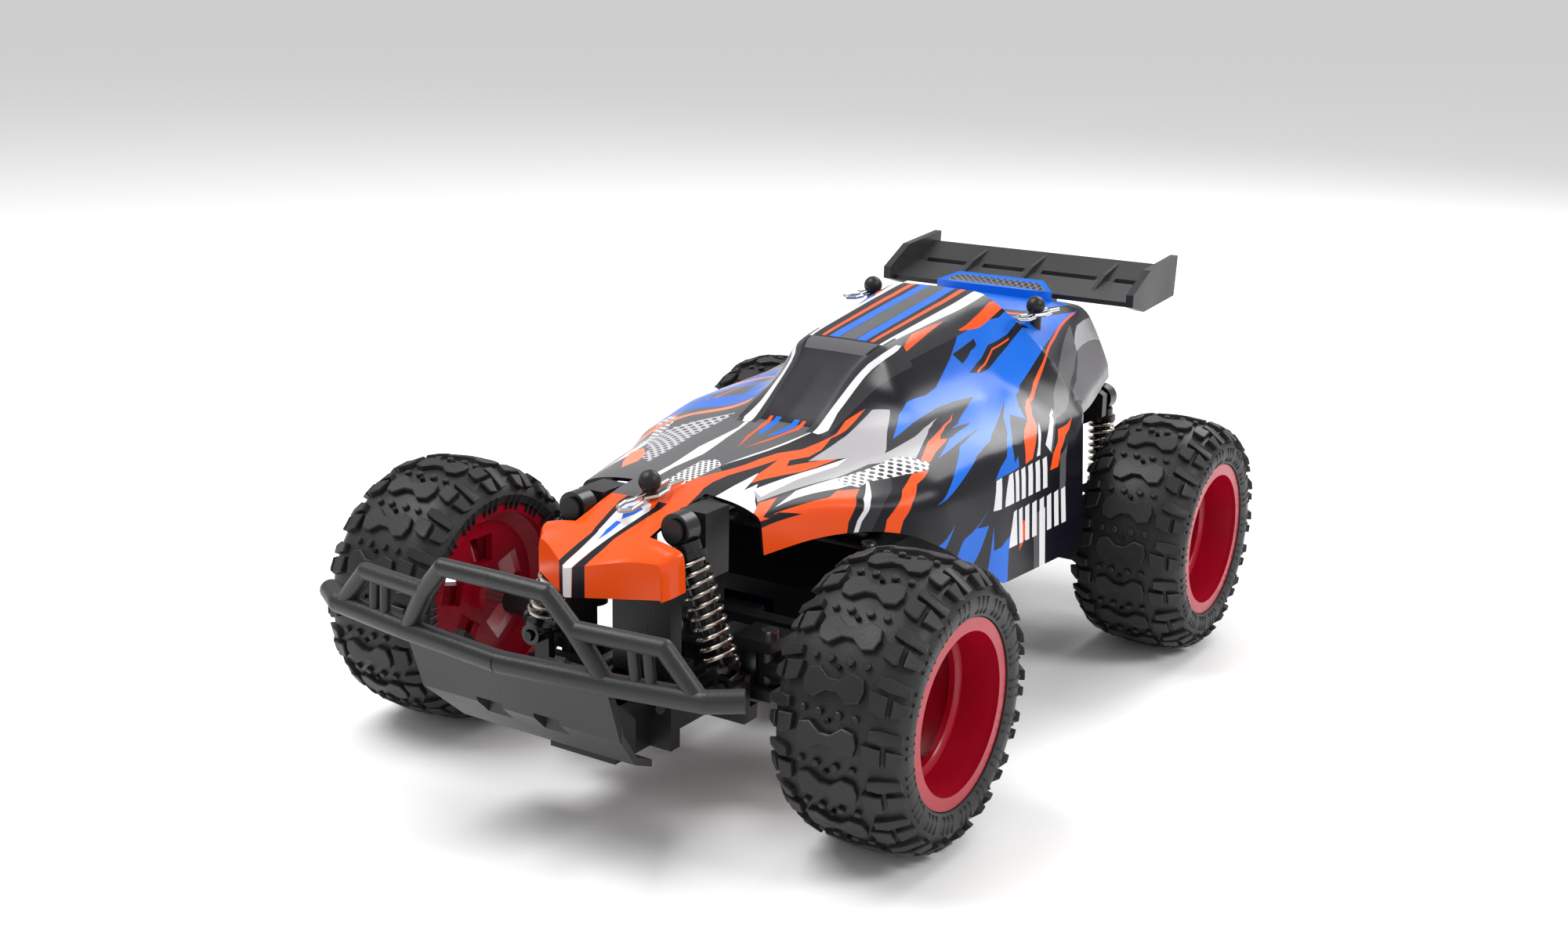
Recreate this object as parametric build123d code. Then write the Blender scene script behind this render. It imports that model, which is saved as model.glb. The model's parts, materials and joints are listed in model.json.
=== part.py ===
"""Radio-controlled toy buggy, one STEP file per piece.

Frame: the origin is on the ground under the middle of the car, +Z is up, the car's
front faces -Y and its left side is +X. All sizes are in millimetres.
"""

from build123d import *
import math
import os

# The whole car
wheelbase = 173.4
front_overhang = 68.6          # bumper ahead of the front axle
rear_overhang = 63.3           # wing tips behind the rear axle
half_track = 73.5              # middle plane of a wheel from the car's middle
ground_clearance = 16.0

# Wheels
tyre_radius = 37.5
tyre_width = 36.4
tyre_wall = 2.4
rim_width = 32.0
outer_seat = 24.1              # radius of the bead seat on the outside
inner_seat = 26.9              # radius of the bead seat on the inside
rim_wall = 1.8
rim_lip = 3.4
hub_radius = 5.0
hub_half = 4.5                 # half the hub's length
hub_inset = 9.0                # hub disc inside the wheel's middle plane

# Clearances
running_fit = 0.05             # radial clearance of a turning shaft
free_gap = 0.4                 # side clearance of a moving piece
open_pivot_gap = 0.45          # play of a shock's bottom eye on its stud
link_play = 1.7                # play of the steering link's pins in the knuckle eyes
tooth_play = 0.15

# Suspension
arm_pivot_x = 14.0
arm_pivot_z = 27.0
arm_half_length = 15.0
hinge_pin_radius = 1.2
kingpin_x = 34.5
kingpin_radius = 1.5
knuckle_height = 9.2
carrier_wall = 3.0
steer_arm = 14.0
link_pin_radius = 1.1
axle_radius = 2.0
carrier_x = 48.0               # middle of the rear hub carrier

# Shocks: offset from the axle, then the top and bottom eyes in X and Z
front_shock = (-14.3, (16.4, 74.8), (31.5, 36.5))
rear_shock = (27.0, (38.0, 71.5), (40.0, 38.5))
eye_radius = 4.4
eye_width = 5.0
tube_radius = 3.0
rod_radius = 1.2
tube_share = 0.68              # part of the shock's length that its tube takes
spring_radius = 4.7
spring_inside = 3.3
foot_eye_radius = 2.9
stud_radius = 1.2
spring_clear = 0.5             # spring from the towers
tower_plate = 3.4

# Drive train
gear_module = 0.6
spur_teeth = 56
pinion_teeth = 14
gear_width = 4.0
case_width = 6.8               # one half of the gearbox
case_reach = 2.3               # gearbox outline beyond the spur gear
cup_radius = 5.2
cup_bore = 3.7
cup_start = 8.0
cup_length = 9.0
ball_x = 12.5
motor_radius = 10.0
motor_length = 23.0
motor_angle = 28.0             # the motor above the rear axle, in degrees

# Chassis
tub_half_width = 29.0
spine_half_width = 10.5
tub_wall = 2.0
tub_height = 22.0
spine_height = 14.0
spine_front = 34.0             # spine ahead of the front axle
spine_rear = 31.0              # spine behind the rear axle
cover_height = 12.0
hatch_half_width = 20.0
hatch_gap = 0.3
switch_x = -24.0
switch_travel = 4.0
horn_length = 10.0

# Bumper
tube_thick = 2.8
tube_thin = 2.3
skid_half_width = 31.0
skid_wall = 2.0

# Body shell and what holds it
shell_wall = 1.0
shell_clear = 0.4
front_post_offset = -5.3       # front post from the front axle
rear_post_offset = -13.0       # rear posts from the rear axle
rear_post_x = 30.0
post_radius = 2.0
post_ball = 3.05
post_hole_gap = 0.4
clip_wire = 0.6

# Wing
wing_half_width = 45.0
wing_wall = 1.6
end_plate_wall = 2.6
wing_heights = (104.3, 107.7, 113.2)    # front edge, slots, rear edge
wing_back = (34.5, 17.5, 3.8)            # the same three, ahead of the wing's rear tips

overall_length = front_overhang + wheelbase + rear_overhang
front_axle_y = -overall_length / 2 + front_overhang
rear_axle_y = front_axle_y + wheelbase
spur_radius = gear_module * spur_teeth / 2
pinion_radius = gear_module * pinion_teeth / 2
gear_distance = spur_radius + pinion_radius
motor_y = rear_axle_y - gear_distance * math.cos(math.radians(motor_angle))
motor_z = tyre_radius + gear_distance * math.sin(math.radians(motor_angle))
knuckle_z = tyre_radius + 0.5
steer_eye = link_pin_radius + link_play
hub_x = half_track - hub_inset
belly = ground_clearance
wing_line = [(rear_axle_y + rear_overhang - back, z) for back, z in zip(wing_back, wing_heights)]
front_bulk = front_axle_y + 42.0        # where the tub widens behind the front axle
rear_bulk = rear_axle_y - 36.0
rear_plate_y = rear_axle_y + rear_shock[0] - spring_radius - spring_clear


def along(share):
    """A place between the axles, as a share of the wheelbase."""
    return front_axle_y + share * wheelbase


def block(x, y, z):
    size = (x[1] - x[0], y[1] - y[0], z[1] - z[0])
    middle = ((x[0] + x[1]) / 2, (y[0] + y[1]) / 2, (z[0] + z[1]) / 2)
    return Pos(*middle) * Box(*size)


def rod(start, end, radius):
    start, end = Vector(*start), Vector(*end)
    return Plane(start, z_dir=end - start) * extrude(Circle(radius), (end - start).length)


def ring(start, end, outer, inner):
    return rod(start, end, outer) - rod(start, end, inner)


def tube(points, radius):
    """Round bars from point to point, with round corners."""
    shape = rod(points[0], points[1], radius)
    for here, there in zip(points[1:-1], points[2:]):
        shape += Pos(*here) * Sphere(radius) + rod(here, there, radius)
    return shape


def side_plate(outline, start, thickness):
    """An outline in Y and Z with its thickness along X."""
    face = make_face(Polyline(*[(start, y, z) for y, z in outline], close=True))
    return extrude(face, thickness, dir=(1, 0, 0))


def front_plate(outline, start, thickness):
    """An outline in X and Z with its thickness along Y."""
    face = make_face(Polyline(*[(x, start, z) for x, z in outline], close=True))
    return extrude(face, thickness, dir=(0, 1, 0))


def mirrored(shape):
    return mirror(shape, about=Plane.YZ)


def both(shape):
    return shape + mirrored(shape)


def about_axle(profile, axle_y):
    """Turns an outline in X and radius about a wheel's axle."""
    face = make_face(Polyline(*[(x, 0, r) for x, r in profile], close=True))
    return Pos(0, axle_y, tyre_radius) * revolve(face, Axis.X)


# Wheels

def tyre(axle_y):
    """Balloon tyre: a ring of rubber, open towards the rim, with a bead at each side."""
    outer = half_track + rim_width / 2 + 0.5
    inner = half_track - rim_width / 2 + 0.5
    bulge = tyre_width / 2

    def skin(step):
        side = bulge - step
        top = tyre_radius - step
        return [
            (outer - step, outer_seat + step), (half_track + side, outer_seat + 6.5),
            (half_track + side - 4, top - 3.2), (half_track, top),
            (half_track - side + 4, top - 3.2), (half_track - side, inner_seat + 4.5),
            (inner + step, inner_seat + step),
        ]

    outside, inside = skin(0), skin(tyre_wall)
    crown = Spline(*[(x, 0, r) for x, r in outside])
    lining = Spline(*[(x, 0, r) for x, r in reversed(inside)])
    inner_bead = Polyline((inner, 0, inner_seat), (inner + tyre_wall, 0, inner_seat),
                          (inner + tyre_wall, 0, inner_seat + tyre_wall))
    outer_bead = Polyline((outer - tyre_wall, 0, outer_seat + tyre_wall),
                          (outer - tyre_wall, 0, outer_seat), (outer, 0, outer_seat))
    edges = [edge for line in (crown, inner_bead, lining, outer_bead) for edge in line.edges()]
    return Pos(0, axle_y, tyre_radius) * revolve(make_face(edges), Axis.X)


def rim(axle_y, bore):
    """Dished rim: a barrel with two bead seats, a hub and a disc with five windows."""
    out_edge = half_track + rim_width / 2 + 0.5
    in_edge = half_track - rim_width / 2
    barrel = outer_seat - rim_lip
    shape = about_axle([
        (in_edge, inner_seat - 2.6), (in_edge, inner_seat), (in_edge + 3.2, inner_seat),
        (in_edge + 7.0, barrel + rim_wall - 0.6), (out_edge - 4.2, barrel + rim_wall),
        (out_edge - 3.4, outer_seat), (out_edge, outer_seat), (out_edge, barrel),
        (in_edge + 6.5, barrel - 0.8), (in_edge + 2.6, inner_seat - 2.6),
    ], axle_y)
    shape += about_axle([(hub_x - 1.2, bore), (hub_x - 1.2, barrel), (hub_x + 1.2, barrel),
                         (hub_x + 1.2, bore)], axle_y)
    shape += about_axle([(hub_x - hub_half, bore), (hub_x - hub_half, hub_radius),
                         (hub_x + hub_half, hub_radius), (hub_x + hub_half, bore)], axle_y)
    window = Pos(hub_x, 0, 12.5) * Box(4, 9, 8)
    for n in range(5):
        shape -= Pos(0, axle_y, tyre_radius) * Rot(72 * n, 0, 0) * window
    return shape


# Front suspension

def front_arm():
    """Lower arm with a C-shaped carrier for the knuckle and a stud for the shock."""
    y = front_axle_y
    offset, _, (foot_x, foot_z) = front_shock
    low = knuckle_z - knuckle_height / 2 - free_gap
    high = knuckle_z + knuckle_height / 2 + free_gap
    base, deck = arm_pivot_z - 2, arm_pivot_z + 2
    in_x, out_x = kingpin_x - 8, kingpin_x + 4
    shape = rod((arm_pivot_x, y - arm_half_length, arm_pivot_z),
                (arm_pivot_x, y + arm_half_length, arm_pivot_z), 3.0)
    shape += block((arm_pivot_x, in_x), (y - 11, y + 11), (base, deck))
    shape -= block((arm_pivot_x + 4.5, in_x - 2.5), (y - 5, y + 5), (base - 1, deck + 1))
    shape += block((in_x, in_x + 3), (y - 6, y + 6), (base, high + carrier_wall))
    shape += block((in_x, out_x), (y - 6, y + 6), (high, high + carrier_wall))
    shape += block((in_x, out_x), (y - 6, y + 6), (low - carrier_wall, low))
    stud_start = y + offset + eye_width / 2 + 0.3
    shape += block((in_x - 3, foot_x + 3), (stud_start, y - 5.5), (base, deck))
    shape += block((foot_x - 2, foot_x + 3), (stud_start, stud_start + 2.5), (base, foot_z + 1.4))
    shape += rod((foot_x, stud_start, foot_z), (foot_x, y + offset - eye_width / 2 - 1, foot_z), stud_radius)
    shape -= rod((arm_pivot_x, y - 20, arm_pivot_z), (arm_pivot_x, y + 20, arm_pivot_z),
                 hinge_pin_radius + running_fit)
    shape -= rod((kingpin_x, y, low - 5), (kingpin_x, y, high + 5), kingpin_radius)
    return shape


def kingpin():
    """Screw through the carrier and the knuckle, with a cross in its head."""
    low = knuckle_z - knuckle_height / 2 - free_gap - carrier_wall
    high = knuckle_z + knuckle_height / 2 + free_gap + carrier_wall
    return rod((kingpin_x, front_axle_y, low), (kingpin_x, front_axle_y, high), kingpin_radius) \
        + screw_head((kingpin_x, front_axle_y, high), (0, 0, 1), 2.3, 1.4)


def screw_head(at, direction, radius, height):
    """Pan head with a cross recess, standing on a face."""
    head = extrude(Circle(radius), height)
    head -= Pos(0, 0, height) * (Box(radius * 1.3, 0.6, 1.2) + Box(0.6, radius * 1.3, 1.2))
    return Plane(Vector(*at), z_dir=Vector(*direction)) * head


def knuckle():
    """Steering knuckle: kingpin boss, boss for the stub axle and steering arm with its eye."""
    y = front_axle_y
    half = knuckle_height / 2
    tip = y + steer_arm
    arm_low, arm_high = knuckle_z - 1.5, knuckle_z + 1.5
    shape = rod((kingpin_x, y, knuckle_z - half), (kingpin_x, y, knuckle_z + half), 3.6)
    shape += rod((kingpin_x, y, tyre_radius), (kingpin_x + 18, y, tyre_radius), 3.9)
    shape += block((kingpin_x - 2.5, kingpin_x + 2.5), (y, tip - steer_eye), (arm_low, arm_high))
    shape += rod((kingpin_x, tip, arm_low), (kingpin_x, tip, arm_high), steer_eye + 1.6)
    shape -= rod((kingpin_x, tip, arm_low), (kingpin_x, tip, arm_high), steer_eye)
    shape -= rod((kingpin_x, y, 0), (kingpin_x, y, 80), kingpin_radius + running_fit)
    shape -= rod((kingpin_x + 5, y, tyre_radius), (kingpin_x + 20, y, tyre_radius), axle_radius)
    return shape


def stub_axle():
    """Shoulder screw that the front wheel turns on."""
    y, z = front_axle_y, tyre_radius
    end = hub_x + hub_half + free_gap
    return rod((kingpin_x + 5, y, z), (end, y, z), axle_radius) \
        + screw_head((end, y, z), (1, 0, 0), 3.4, 1.8)


# Shocks

def shock_parts(axle_y, shock):
    """Body with its top eye, rod with its bottom eye, and the spring's outline."""
    offset, top, foot = shock
    y = axle_y + offset
    span = math.dist(top, foot)
    ux, uz = (foot[0] - top[0]) / span, (foot[1] - top[1]) / span

    def at(distance):
        return (top[0] + ux * distance, y, top[1] + uz * distance)

    def eye(distance, radius, hole):
        x, _, z = at(distance)
        return ring((x, y - eye_width / 2, z), (x, y + eye_width / 2, z), radius, hole)

    tube_end = span * tube_share
    collar = eye_radius + 2.0
    body = eye(0, eye_radius, stud_radius + running_fit)
    body += rod(at(eye_radius - 0.6), at(collar), tube_radius + 0.8)
    body += rod(at(collar), at(collar + 1.6), spring_radius)
    body += rod(at(collar), at(tube_end), tube_radius)
    body -= rod(at(collar + 3), at(tube_end + 1), rod_radius + running_fit)
    seat_end = span - foot_eye_radius - 0.8
    slider = eye(span, foot_eye_radius, stud_radius + open_pivot_gap)
    slider += rod(at(collar + 6), at(span - 2), rod_radius)
    slider += rod(at(seat_end - 1.2), at(seat_end), spring_radius)
    slider += rod(at(seat_end), at(span - 2), 1.6)
    slider -= rod((at(span)[0], y - eye_width, at(span)[2]), (at(span)[0], y + eye_width, at(span)[2]),
                  stud_radius + open_pivot_gap)
    spring = ring(at(collar + 1.6), at(seat_end - 1.2), spring_radius, spring_inside)
    return body, slider, spring


# Rear suspension and drive

def rear_arm():
    """Lower arm with the hub carrier and a stud for the shock."""
    y = rear_axle_y
    offset, _, (foot_x, foot_z) = rear_shock
    base, deck = arm_pivot_z - 2, arm_pivot_z + 2
    in_x, out_x = carrier_x - 5, carrier_x + 5
    shape = rod((arm_pivot_x, y - arm_half_length, arm_pivot_z),
                (arm_pivot_x, y + arm_half_length, arm_pivot_z), 3.0)
    shape += block((arm_pivot_x, out_x), (y - 11, y + 11), (base, deck))
    shape -= block((arm_pivot_x + 6, in_x - 6), (y - 6, y + 6), (base - 1, deck + 1))
    shape += block((in_x, out_x), (y - 6, y + 6), (base, tyre_radius))
    shape += rod((in_x, y, tyre_radius), (out_x, y, tyre_radius), 6)
    shape -= rod((in_x - 1, y, tyre_radius), (out_x + 1, y, tyre_radius), axle_radius + running_fit)
    stud_start = y + offset - eye_width / 2 - 0.3
    shape += block((foot_x - 5, foot_x + 5), (y + 10, stud_start), (base, deck))
    shape += block((foot_x - 2, foot_x + 3), (stud_start - 2.5, stud_start), (base, foot_z + 1.4))
    shape += rod((foot_x, stud_start, foot_z), (foot_x, y + offset + eye_width / 2 + 1, foot_z), stud_radius)
    shape -= rod((arm_pivot_x, y - 20, arm_pivot_z), (arm_pivot_x, y + 20, arm_pivot_z),
                 hinge_pin_radius + running_fit)
    return shape


def drive_shaft():
    """Rear axle: a ball with a cross pin in the output cup, the shaft and a hex for the wheel."""
    y, z = rear_axle_y, tyre_radius
    shape = Pos(ball_x, y, z) * Sphere(2.2)
    shape += rod((ball_x, y, z - 4.3), (ball_x, y, z + 4.3), 0.8)
    shape += rod((ball_x, y, z), (cup_start + cup_length + 4, y, z), 1.4)
    shape += rod((cup_start + cup_length + 4, y, z), (hub_x + hub_half + 3.3, y, z), axle_radius)
    hexagon = extrude(RegularPolygon(4.2, 6), 3.0)
    shape += Plane(Vector(hub_x - hub_half - 3.0, y, z), z_dir=(1, 0, 0)) * hexagon
    return shape


def wheel_nut():
    """Hexagon nut that holds a rear wheel on its shaft."""
    nut = extrude(RegularPolygon(3.8, 6) - Circle(axle_radius), 2.8)
    return Plane(Vector(hub_x + hub_half, rear_axle_y, tyre_radius), z_dir=(1, 0, 0)) * nut


def gear(teeth, width, start_angle):
    """Straight-toothed gear with trapezoid teeth about X, centred on the origin."""
    radius = gear_module * teeth / 2
    pitch = 2 * math.pi / teeth
    root, tip = radius - 1.2 * gear_module, radius + 0.9 * gear_module
    slack = tooth_play / radius / 2
    points = []
    for n in range(teeth):
        middle = start_angle + n * pitch
        for reach, share in ((root, -0.36), (tip, -0.11), (tip, 0.11), (root, 0.36)):
            angle = middle + share * pitch - math.copysign(slack, share)
            points.append((-width / 2, reach * math.cos(angle), reach * math.sin(angle)))
    return extrude(make_face(Polyline(*points, close=True)), width, dir=(1, 0, 0))


def differential():
    """Spur gear on its shaft, with a slotted output cup at each end."""
    y, z = rear_axle_y, tyre_radius
    line = math.pi - math.radians(motor_angle)
    shape = Pos(0, y, z) * gear(spur_teeth, gear_width, line)
    shape += rod((-cup_start, y, z), (cup_start, y, z), 3.0)
    cup = rod((cup_start, y, z), (cup_start + cup_length, y, z), cup_radius)
    cup -= rod((cup_start + 1.2, y, z), (cup_start + cup_length + 1, y, z), cup_bore)
    cup -= block((cup_start + 1.8, cup_start + cup_length + 1), (y - 2.1, y + 2.1),
                 (z - cup_radius - 1, z + cup_radius + 1))
    return shape + both(cup)


def motor_pinion():
    """Pinion on the motor's shaft, in mesh with the spur gear."""
    line = -math.radians(motor_angle)
    half_pitch = math.pi / pinion_teeth
    shape = Pos(0, motor_y, motor_z) * gear(pinion_teeth, gear_width - 0.4, line + half_pitch)
    return shape + rod((-case_width + 0.6, motor_y, motor_z), (gear_width / 2 + 0.6, motor_y, motor_z), 1.0)


def drive_motor():
    """Can motor with a bearing boss, a flat on each side and an end bell."""
    start = -case_width - motor_length
    shape = rod((start, motor_y, motor_z), (-case_width, motor_y, motor_z), motor_radius)
    shape -= motor_flats(start)
    shape += rod((start - 1.2, motor_y, motor_z), (start, motor_y, motor_z), 3.0)
    return shape


def motor_flats(start):
    flat = block((start - 1, -6.5), (-motor_radius - 1, motor_radius + 1),
                 (motor_radius - 1.4, motor_radius + 1))
    pair = flat + mirror(flat, about=Plane.XY)
    return Pos(0, motor_y, motor_z) * pair


def gear_case(sign):
    """One half of the gearbox, around the spur gear and the pinion."""
    y, z = rear_axle_y, tyre_radius
    wide, small = spur_radius + case_reach, pinion_radius + 3.2

    def hull(radius_a, radius_b, start, end):
        angle = math.radians(motor_angle)
        across = Vector(0, math.sin(angle), math.cos(angle))
        a, b = Vector(start, y, z), Vector(start, motor_y, motor_z)
        corners = [a + across * radius_a, b + across * radius_b, b - across * radius_b, a - across * radius_a]
        web = extrude(make_face(Polyline(*corners, close=True)), end - start, dir=(1, 0, 0))
        return web + rod((start, y, z), (end, y, z), radius_a) \
            + rod((start, motor_y, motor_z), (end, motor_y, motor_z), radius_b)

    shape = hull(wide, small, 0, case_width)
    shape += block((0, case_width), (y - 8, y + 8), (belly + tub_wall, z - wide + 3))
    shape -= hull(spur_radius + 1.1, pinion_radius + 1.6, -1, gear_width / 2 + 1.0)
    shape -= rod((-1, y, z), (cup_start, y, z), 3.0 + running_fit)
    if sign < 0:
        shape = mirrored(shape)
        shape -= rod((-8, motor_y, motor_z), (0, motor_y, motor_z), 2.2)
    return shape


# Steering

def steering_link():
    """Cross bar with a pin in each knuckle's eye and a slot for the servo horn."""
    y = front_axle_y + steer_arm - 0.5
    low = knuckle_z + 4.4
    shape = block((-kingpin_x - 3, kingpin_x + 3), (y - 2.5, y + 2.5), (low, low + 2.6))
    shape += block((-6, 6), (y - 5, y + 5), (low, low + 2.6))
    shape += both(rod((kingpin_x, y, knuckle_z - 4.6), (kingpin_x, y, low + 1), link_pin_radius))
    slot = block((-link_pin_radius - 0.5, link_pin_radius + 0.5), (y - 3.2, y + 3.2), (low - 1, low + 4))
    return shape - slot


def steering_servo():
    """Servo case with its mounting ears."""
    y = front_axle_y + steer_arm + 4.5
    shape = block((-6, 6), (y, y + 22.5), (belly + tub_wall, knuckle_z - 2.0))
    shape += block((-6, 6), (y - 2.2, y + 24.7), (knuckle_z - 7.5, knuckle_z - 5.5))
    return shape


def servo_horn():
    """Arm on the servo's shaft, with the pin that moves the link."""
    y = front_axle_y + steer_arm + 9.5
    pin_y = y - horn_length
    deck = knuckle_z - 1.6
    shape = rod((0, y, deck), (0, y, deck + 4.0), 3.2)
    shape += block((-2.4, 2.4), (pin_y, y), (deck, deck + 2.2))
    shape += rod((0, pin_y, deck), (0, pin_y, deck + 2.2), 2.4)
    shape += rod((0, pin_y, deck), (0, pin_y, knuckle_z + 7.4), link_pin_radius)
    return shape


# Chassis

def chassis_tub():
    """Tray for the battery and the electronics, with a narrow spine to each axle."""
    f, r = front_axle_y - spine_front, rear_axle_y + spine_rear
    w, s = tub_half_width, spine_half_width
    top = belly + spine_height
    tray = block((-w, w), (front_bulk, rear_bulk), (belly, belly + tub_height))
    tray -= block((-w + tub_wall, w - tub_wall), (front_bulk + tub_wall, rear_bulk - tub_wall),
                  (belly + tub_wall, belly + tub_height + 1))
    spine = block((-s, s), (f, front_bulk + 1), (belly, top)) + block((-s, s), (rear_bulk - 1, r), (belly, top))
    spine -= block((-s + tub_wall, s - tub_wall), (f + tub_wall, r - tub_wall), (belly + tub_wall, top + 1))
    shape = tray + spine
    shape -= block((-s + tub_wall, s - tub_wall), (front_bulk - 5, rear_bulk + 5),
                   (belly + tub_wall, belly + tub_height + 1))
    for axle_y in (front_axle_y, rear_axle_y):
        for side in (-1, 1):
            start = axle_y + side * (arm_half_length + free_gap)
            ends = sorted((start, start + side * 4.0))
            shape += both(block((s - 1, arm_pivot_x + 3.2), ends, (belly, arm_pivot_z + 3.2)))
        pin = rod((arm_pivot_x, axle_y - 30, arm_pivot_z), (arm_pivot_x, axle_y + 30, arm_pivot_z), hinge_pin_radius)
        shape -= both(pin)
    shape -= hatch_panel(hatch_gap)
    shape -= switch_slot()
    return shape


def hatch_panel(grow):
    """Outline of the battery hatch in the tub's floor, grown all round."""
    y0, y1 = front_bulk + 12, rear_bulk - 12
    return block((-hatch_half_width - grow, hatch_half_width + grow), (y0 - grow, y1 + grow),
                 (belly - 1, belly + tub_wall + 1))


def battery_hatch():
    """Panel that closes the battery bay from below, with finger ridges."""
    y0, y1 = front_bulk + 12, rear_bulk - 12
    shape = block((-hatch_half_width, hatch_half_width), (y0, y1), (belly, belly + tub_wall))
    for edge_y in (y0, y1):
        shape += block((-10, 10), (edge_y - 1.6, edge_y + 1.6), (belly + tub_wall, belly + tub_wall + 1))
    for n in range(4):
        shape -= block((-8, 8), (y0 + 6 + 3 * n, y0 + 7.2 + 3 * n), (belly - 1, belly + 0.6))
    return shape


def switch_slot():
    y = along(0.5)
    return block((switch_x - 1.6, switch_x + 1.6), (y - switch_travel / 2 - 2.5, y + switch_travel / 2 + 2.5), (belly - 1, belly + tub_wall + 1))


def power_switch():
    """Slider of the on-off switch, level with the tub's floor."""
    y = along(0.5) - switch_travel / 2
    shape = block((switch_x - 1.3, switch_x + 1.3), (y - 1.8, y + 1.8), (belly - 0.2, belly + tub_wall + 0.3))
    shape += block((switch_x - 2.6, switch_x + 2.6), (y - 3, y + 3), (belly + tub_wall + 0.3, belly + tub_wall + 1.3))
    return shape


def battery_pack():
    """Flat rectangular pack with rounded edges and its lead block."""
    y0, y1 = front_bulk + 14, rear_bulk - 14
    shape = block((-hatch_half_width + 2, hatch_half_width - 8), (y0, y1), (belly + tub_wall, belly + tub_height - 4))
    shape = fillet(shape.edges().filter_by(Axis.Y), 3.0)
    return shape + block((-4, 4), (y1, y1 + 3), (belly + tub_wall + 4, belly + tub_height - 8))


def receiver_board():
    """Circuit board with its chips, standing on the tub's floor beside the battery."""
    y0 = front_bulk + 16
    x0 = hatch_half_width + 1.2
    base = belly + tub_wall
    shape = block((x0, x0 + 1.4), (y0, y0 + 34), (base, base + 17))
    shape += block((x0 + 1.4, x0 + 3.4), (y0 + 5, y0 + 13), (base + 3, base + 11))
    shape += block((x0 + 1.4, x0 + 4.4), (y0 + 18, y0 + 22), (base + 3, base + 14))
    shape += rod((x0 + 1.4, y0 + 28, base + 8), (x0 + 4.8, y0 + 28, base + 8), 2.5)
    return shape


def top_cover():
    """Cover over the tub, stepped up towards the rear."""
    low = belly + tub_height
    w = tub_half_width
    outline = [(front_bulk, low), (rear_bulk, low), (rear_bulk, low + cover_height),
               (front_bulk + 22, low + cover_height), (front_bulk, low + 5)]
    inside = [(front_bulk + 2, low - 1), (rear_bulk - 2, low - 1), (rear_bulk - 2, low + cover_height - 2),
              (front_bulk + 22.8, low + cover_height - 2), (front_bulk + 2, low + 3.8)]
    shape = side_plate(outline, -w, 2 * w) - side_plate(inside, -w + tub_wall, 2 * w - 2 * tub_wall)
    for n in range(5):
        shape += block((-w + 9, w - 9), (front_bulk + 30 + 8 * n, front_bulk + 33 + 8 * n),
                       (low + cover_height, low + cover_height + 1.2))
    return shape


def hinge_pins():
    """The pins that the four arms swing on, held in the tub's lugs."""
    reach = arm_half_length + free_gap + 4.6
    shapes = []
    for axle_y in (front_axle_y, rear_axle_y):
        pin = rod((arm_pivot_x, axle_y - reach, arm_pivot_z), (arm_pivot_x, axle_y + reach, arm_pivot_z),
                  hinge_pin_radius)
        shapes += [pin, mirrored(pin)]
    return Compound(shapes)


def front_tower():
    """Front shock tower: a plate on the spine with a block behind each shock's head."""
    offset, (top_x, top_z), _ = front_shock
    y = front_axle_y + offset + spring_radius + spring_clear
    base = belly + spine_height
    back = front_axle_y + 1.4
    in_x, out_x = top_x - 4.0, top_x + 4.0
    shape = block((-9.5, 9.5), (y, y + 5), (base, 62))
    shape += block((-9.5, 9.5), (y, back), (base, base + 3))
    shape += both(block((in_x, out_x), (y, back), (60, top_z + 3.2)))
    shape += both(block((in_x, out_x), (y, y + 4.0), (52, 61)))
    shape += both(block((8.5, in_x + 1), (y, y + 4.5), (52, 62)))
    post_y = front_axle_y + front_post_offset
    shape += block((-4, 4), (post_y - 3.5, post_y + 3.5), (58, 64))
    return shape + both(shock_stud(front_shock, front_axle_y, y + 1, -1))


def shock_stud(shock, axle_y, start, side):
    """Stud for a shock's top eye, with a spacer behind the eye and a cap in front of it."""
    offset, (x, z), _ = shock
    middle = axle_y + offset
    near, far = middle - side * (eye_width / 2 + free_gap), middle + side * (eye_width / 2 + free_gap)
    return rod((x, start, z), (x, near, z), 2.4) + rod((x, start, z), (x, far, z), stud_radius) \
        + rod((x, far, z), (x, far + side * 0.9, z), 3.0)


def rear_tower():
    """Rear shock tower: column on the spine, wide plate for the shocks and seats for the posts."""
    _, (top_x, top_z), _ = rear_shock
    y = rear_plate_y - tower_plate
    base = belly + spine_height
    column = rear_axle_y + spur_radius + case_reach + free_gap
    shape = block((-9.5, 9.5), (column, rear_plate_y + 2.6), (base, 62))
    wide = [(-9.5, 50), (9.5, 50), (top_x + 4, top_z - 5), (top_x + 4, top_z + 2.5), (26, 83), (24, 88),
            (-24, 88), (-26, 83), (-top_x - 4, top_z + 2.5), (-top_x - 4, top_z - 5)]
    shape += front_plate(wide, y, tower_plate)
    post_y = rear_axle_y + rear_post_offset
    arm = block((rear_post_x - 12, rear_post_x - 6), (post_y - 3, y + 1), (82, 87))
    arm += block((rear_post_x - 12, rear_post_x + 3.2), (post_y - 3, post_y + 3), (82, 87))
    return shape + both(arm + shock_stud(rear_shock, rear_axle_y, rear_plate_y - 1, 1))


def chassis_screws():
    """Heads of the four screws that hold the cover."""
    heads = []
    for y in (front_bulk + 26, rear_bulk - 6):
        for x in (-tub_half_width + 5, tub_half_width - 5):
            heads.append(screw_head((x, y, belly + tub_height + cover_height), (0, 0, 1), 2.2, 1.2))
    return Compound(heads)


# Bumper

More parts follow.
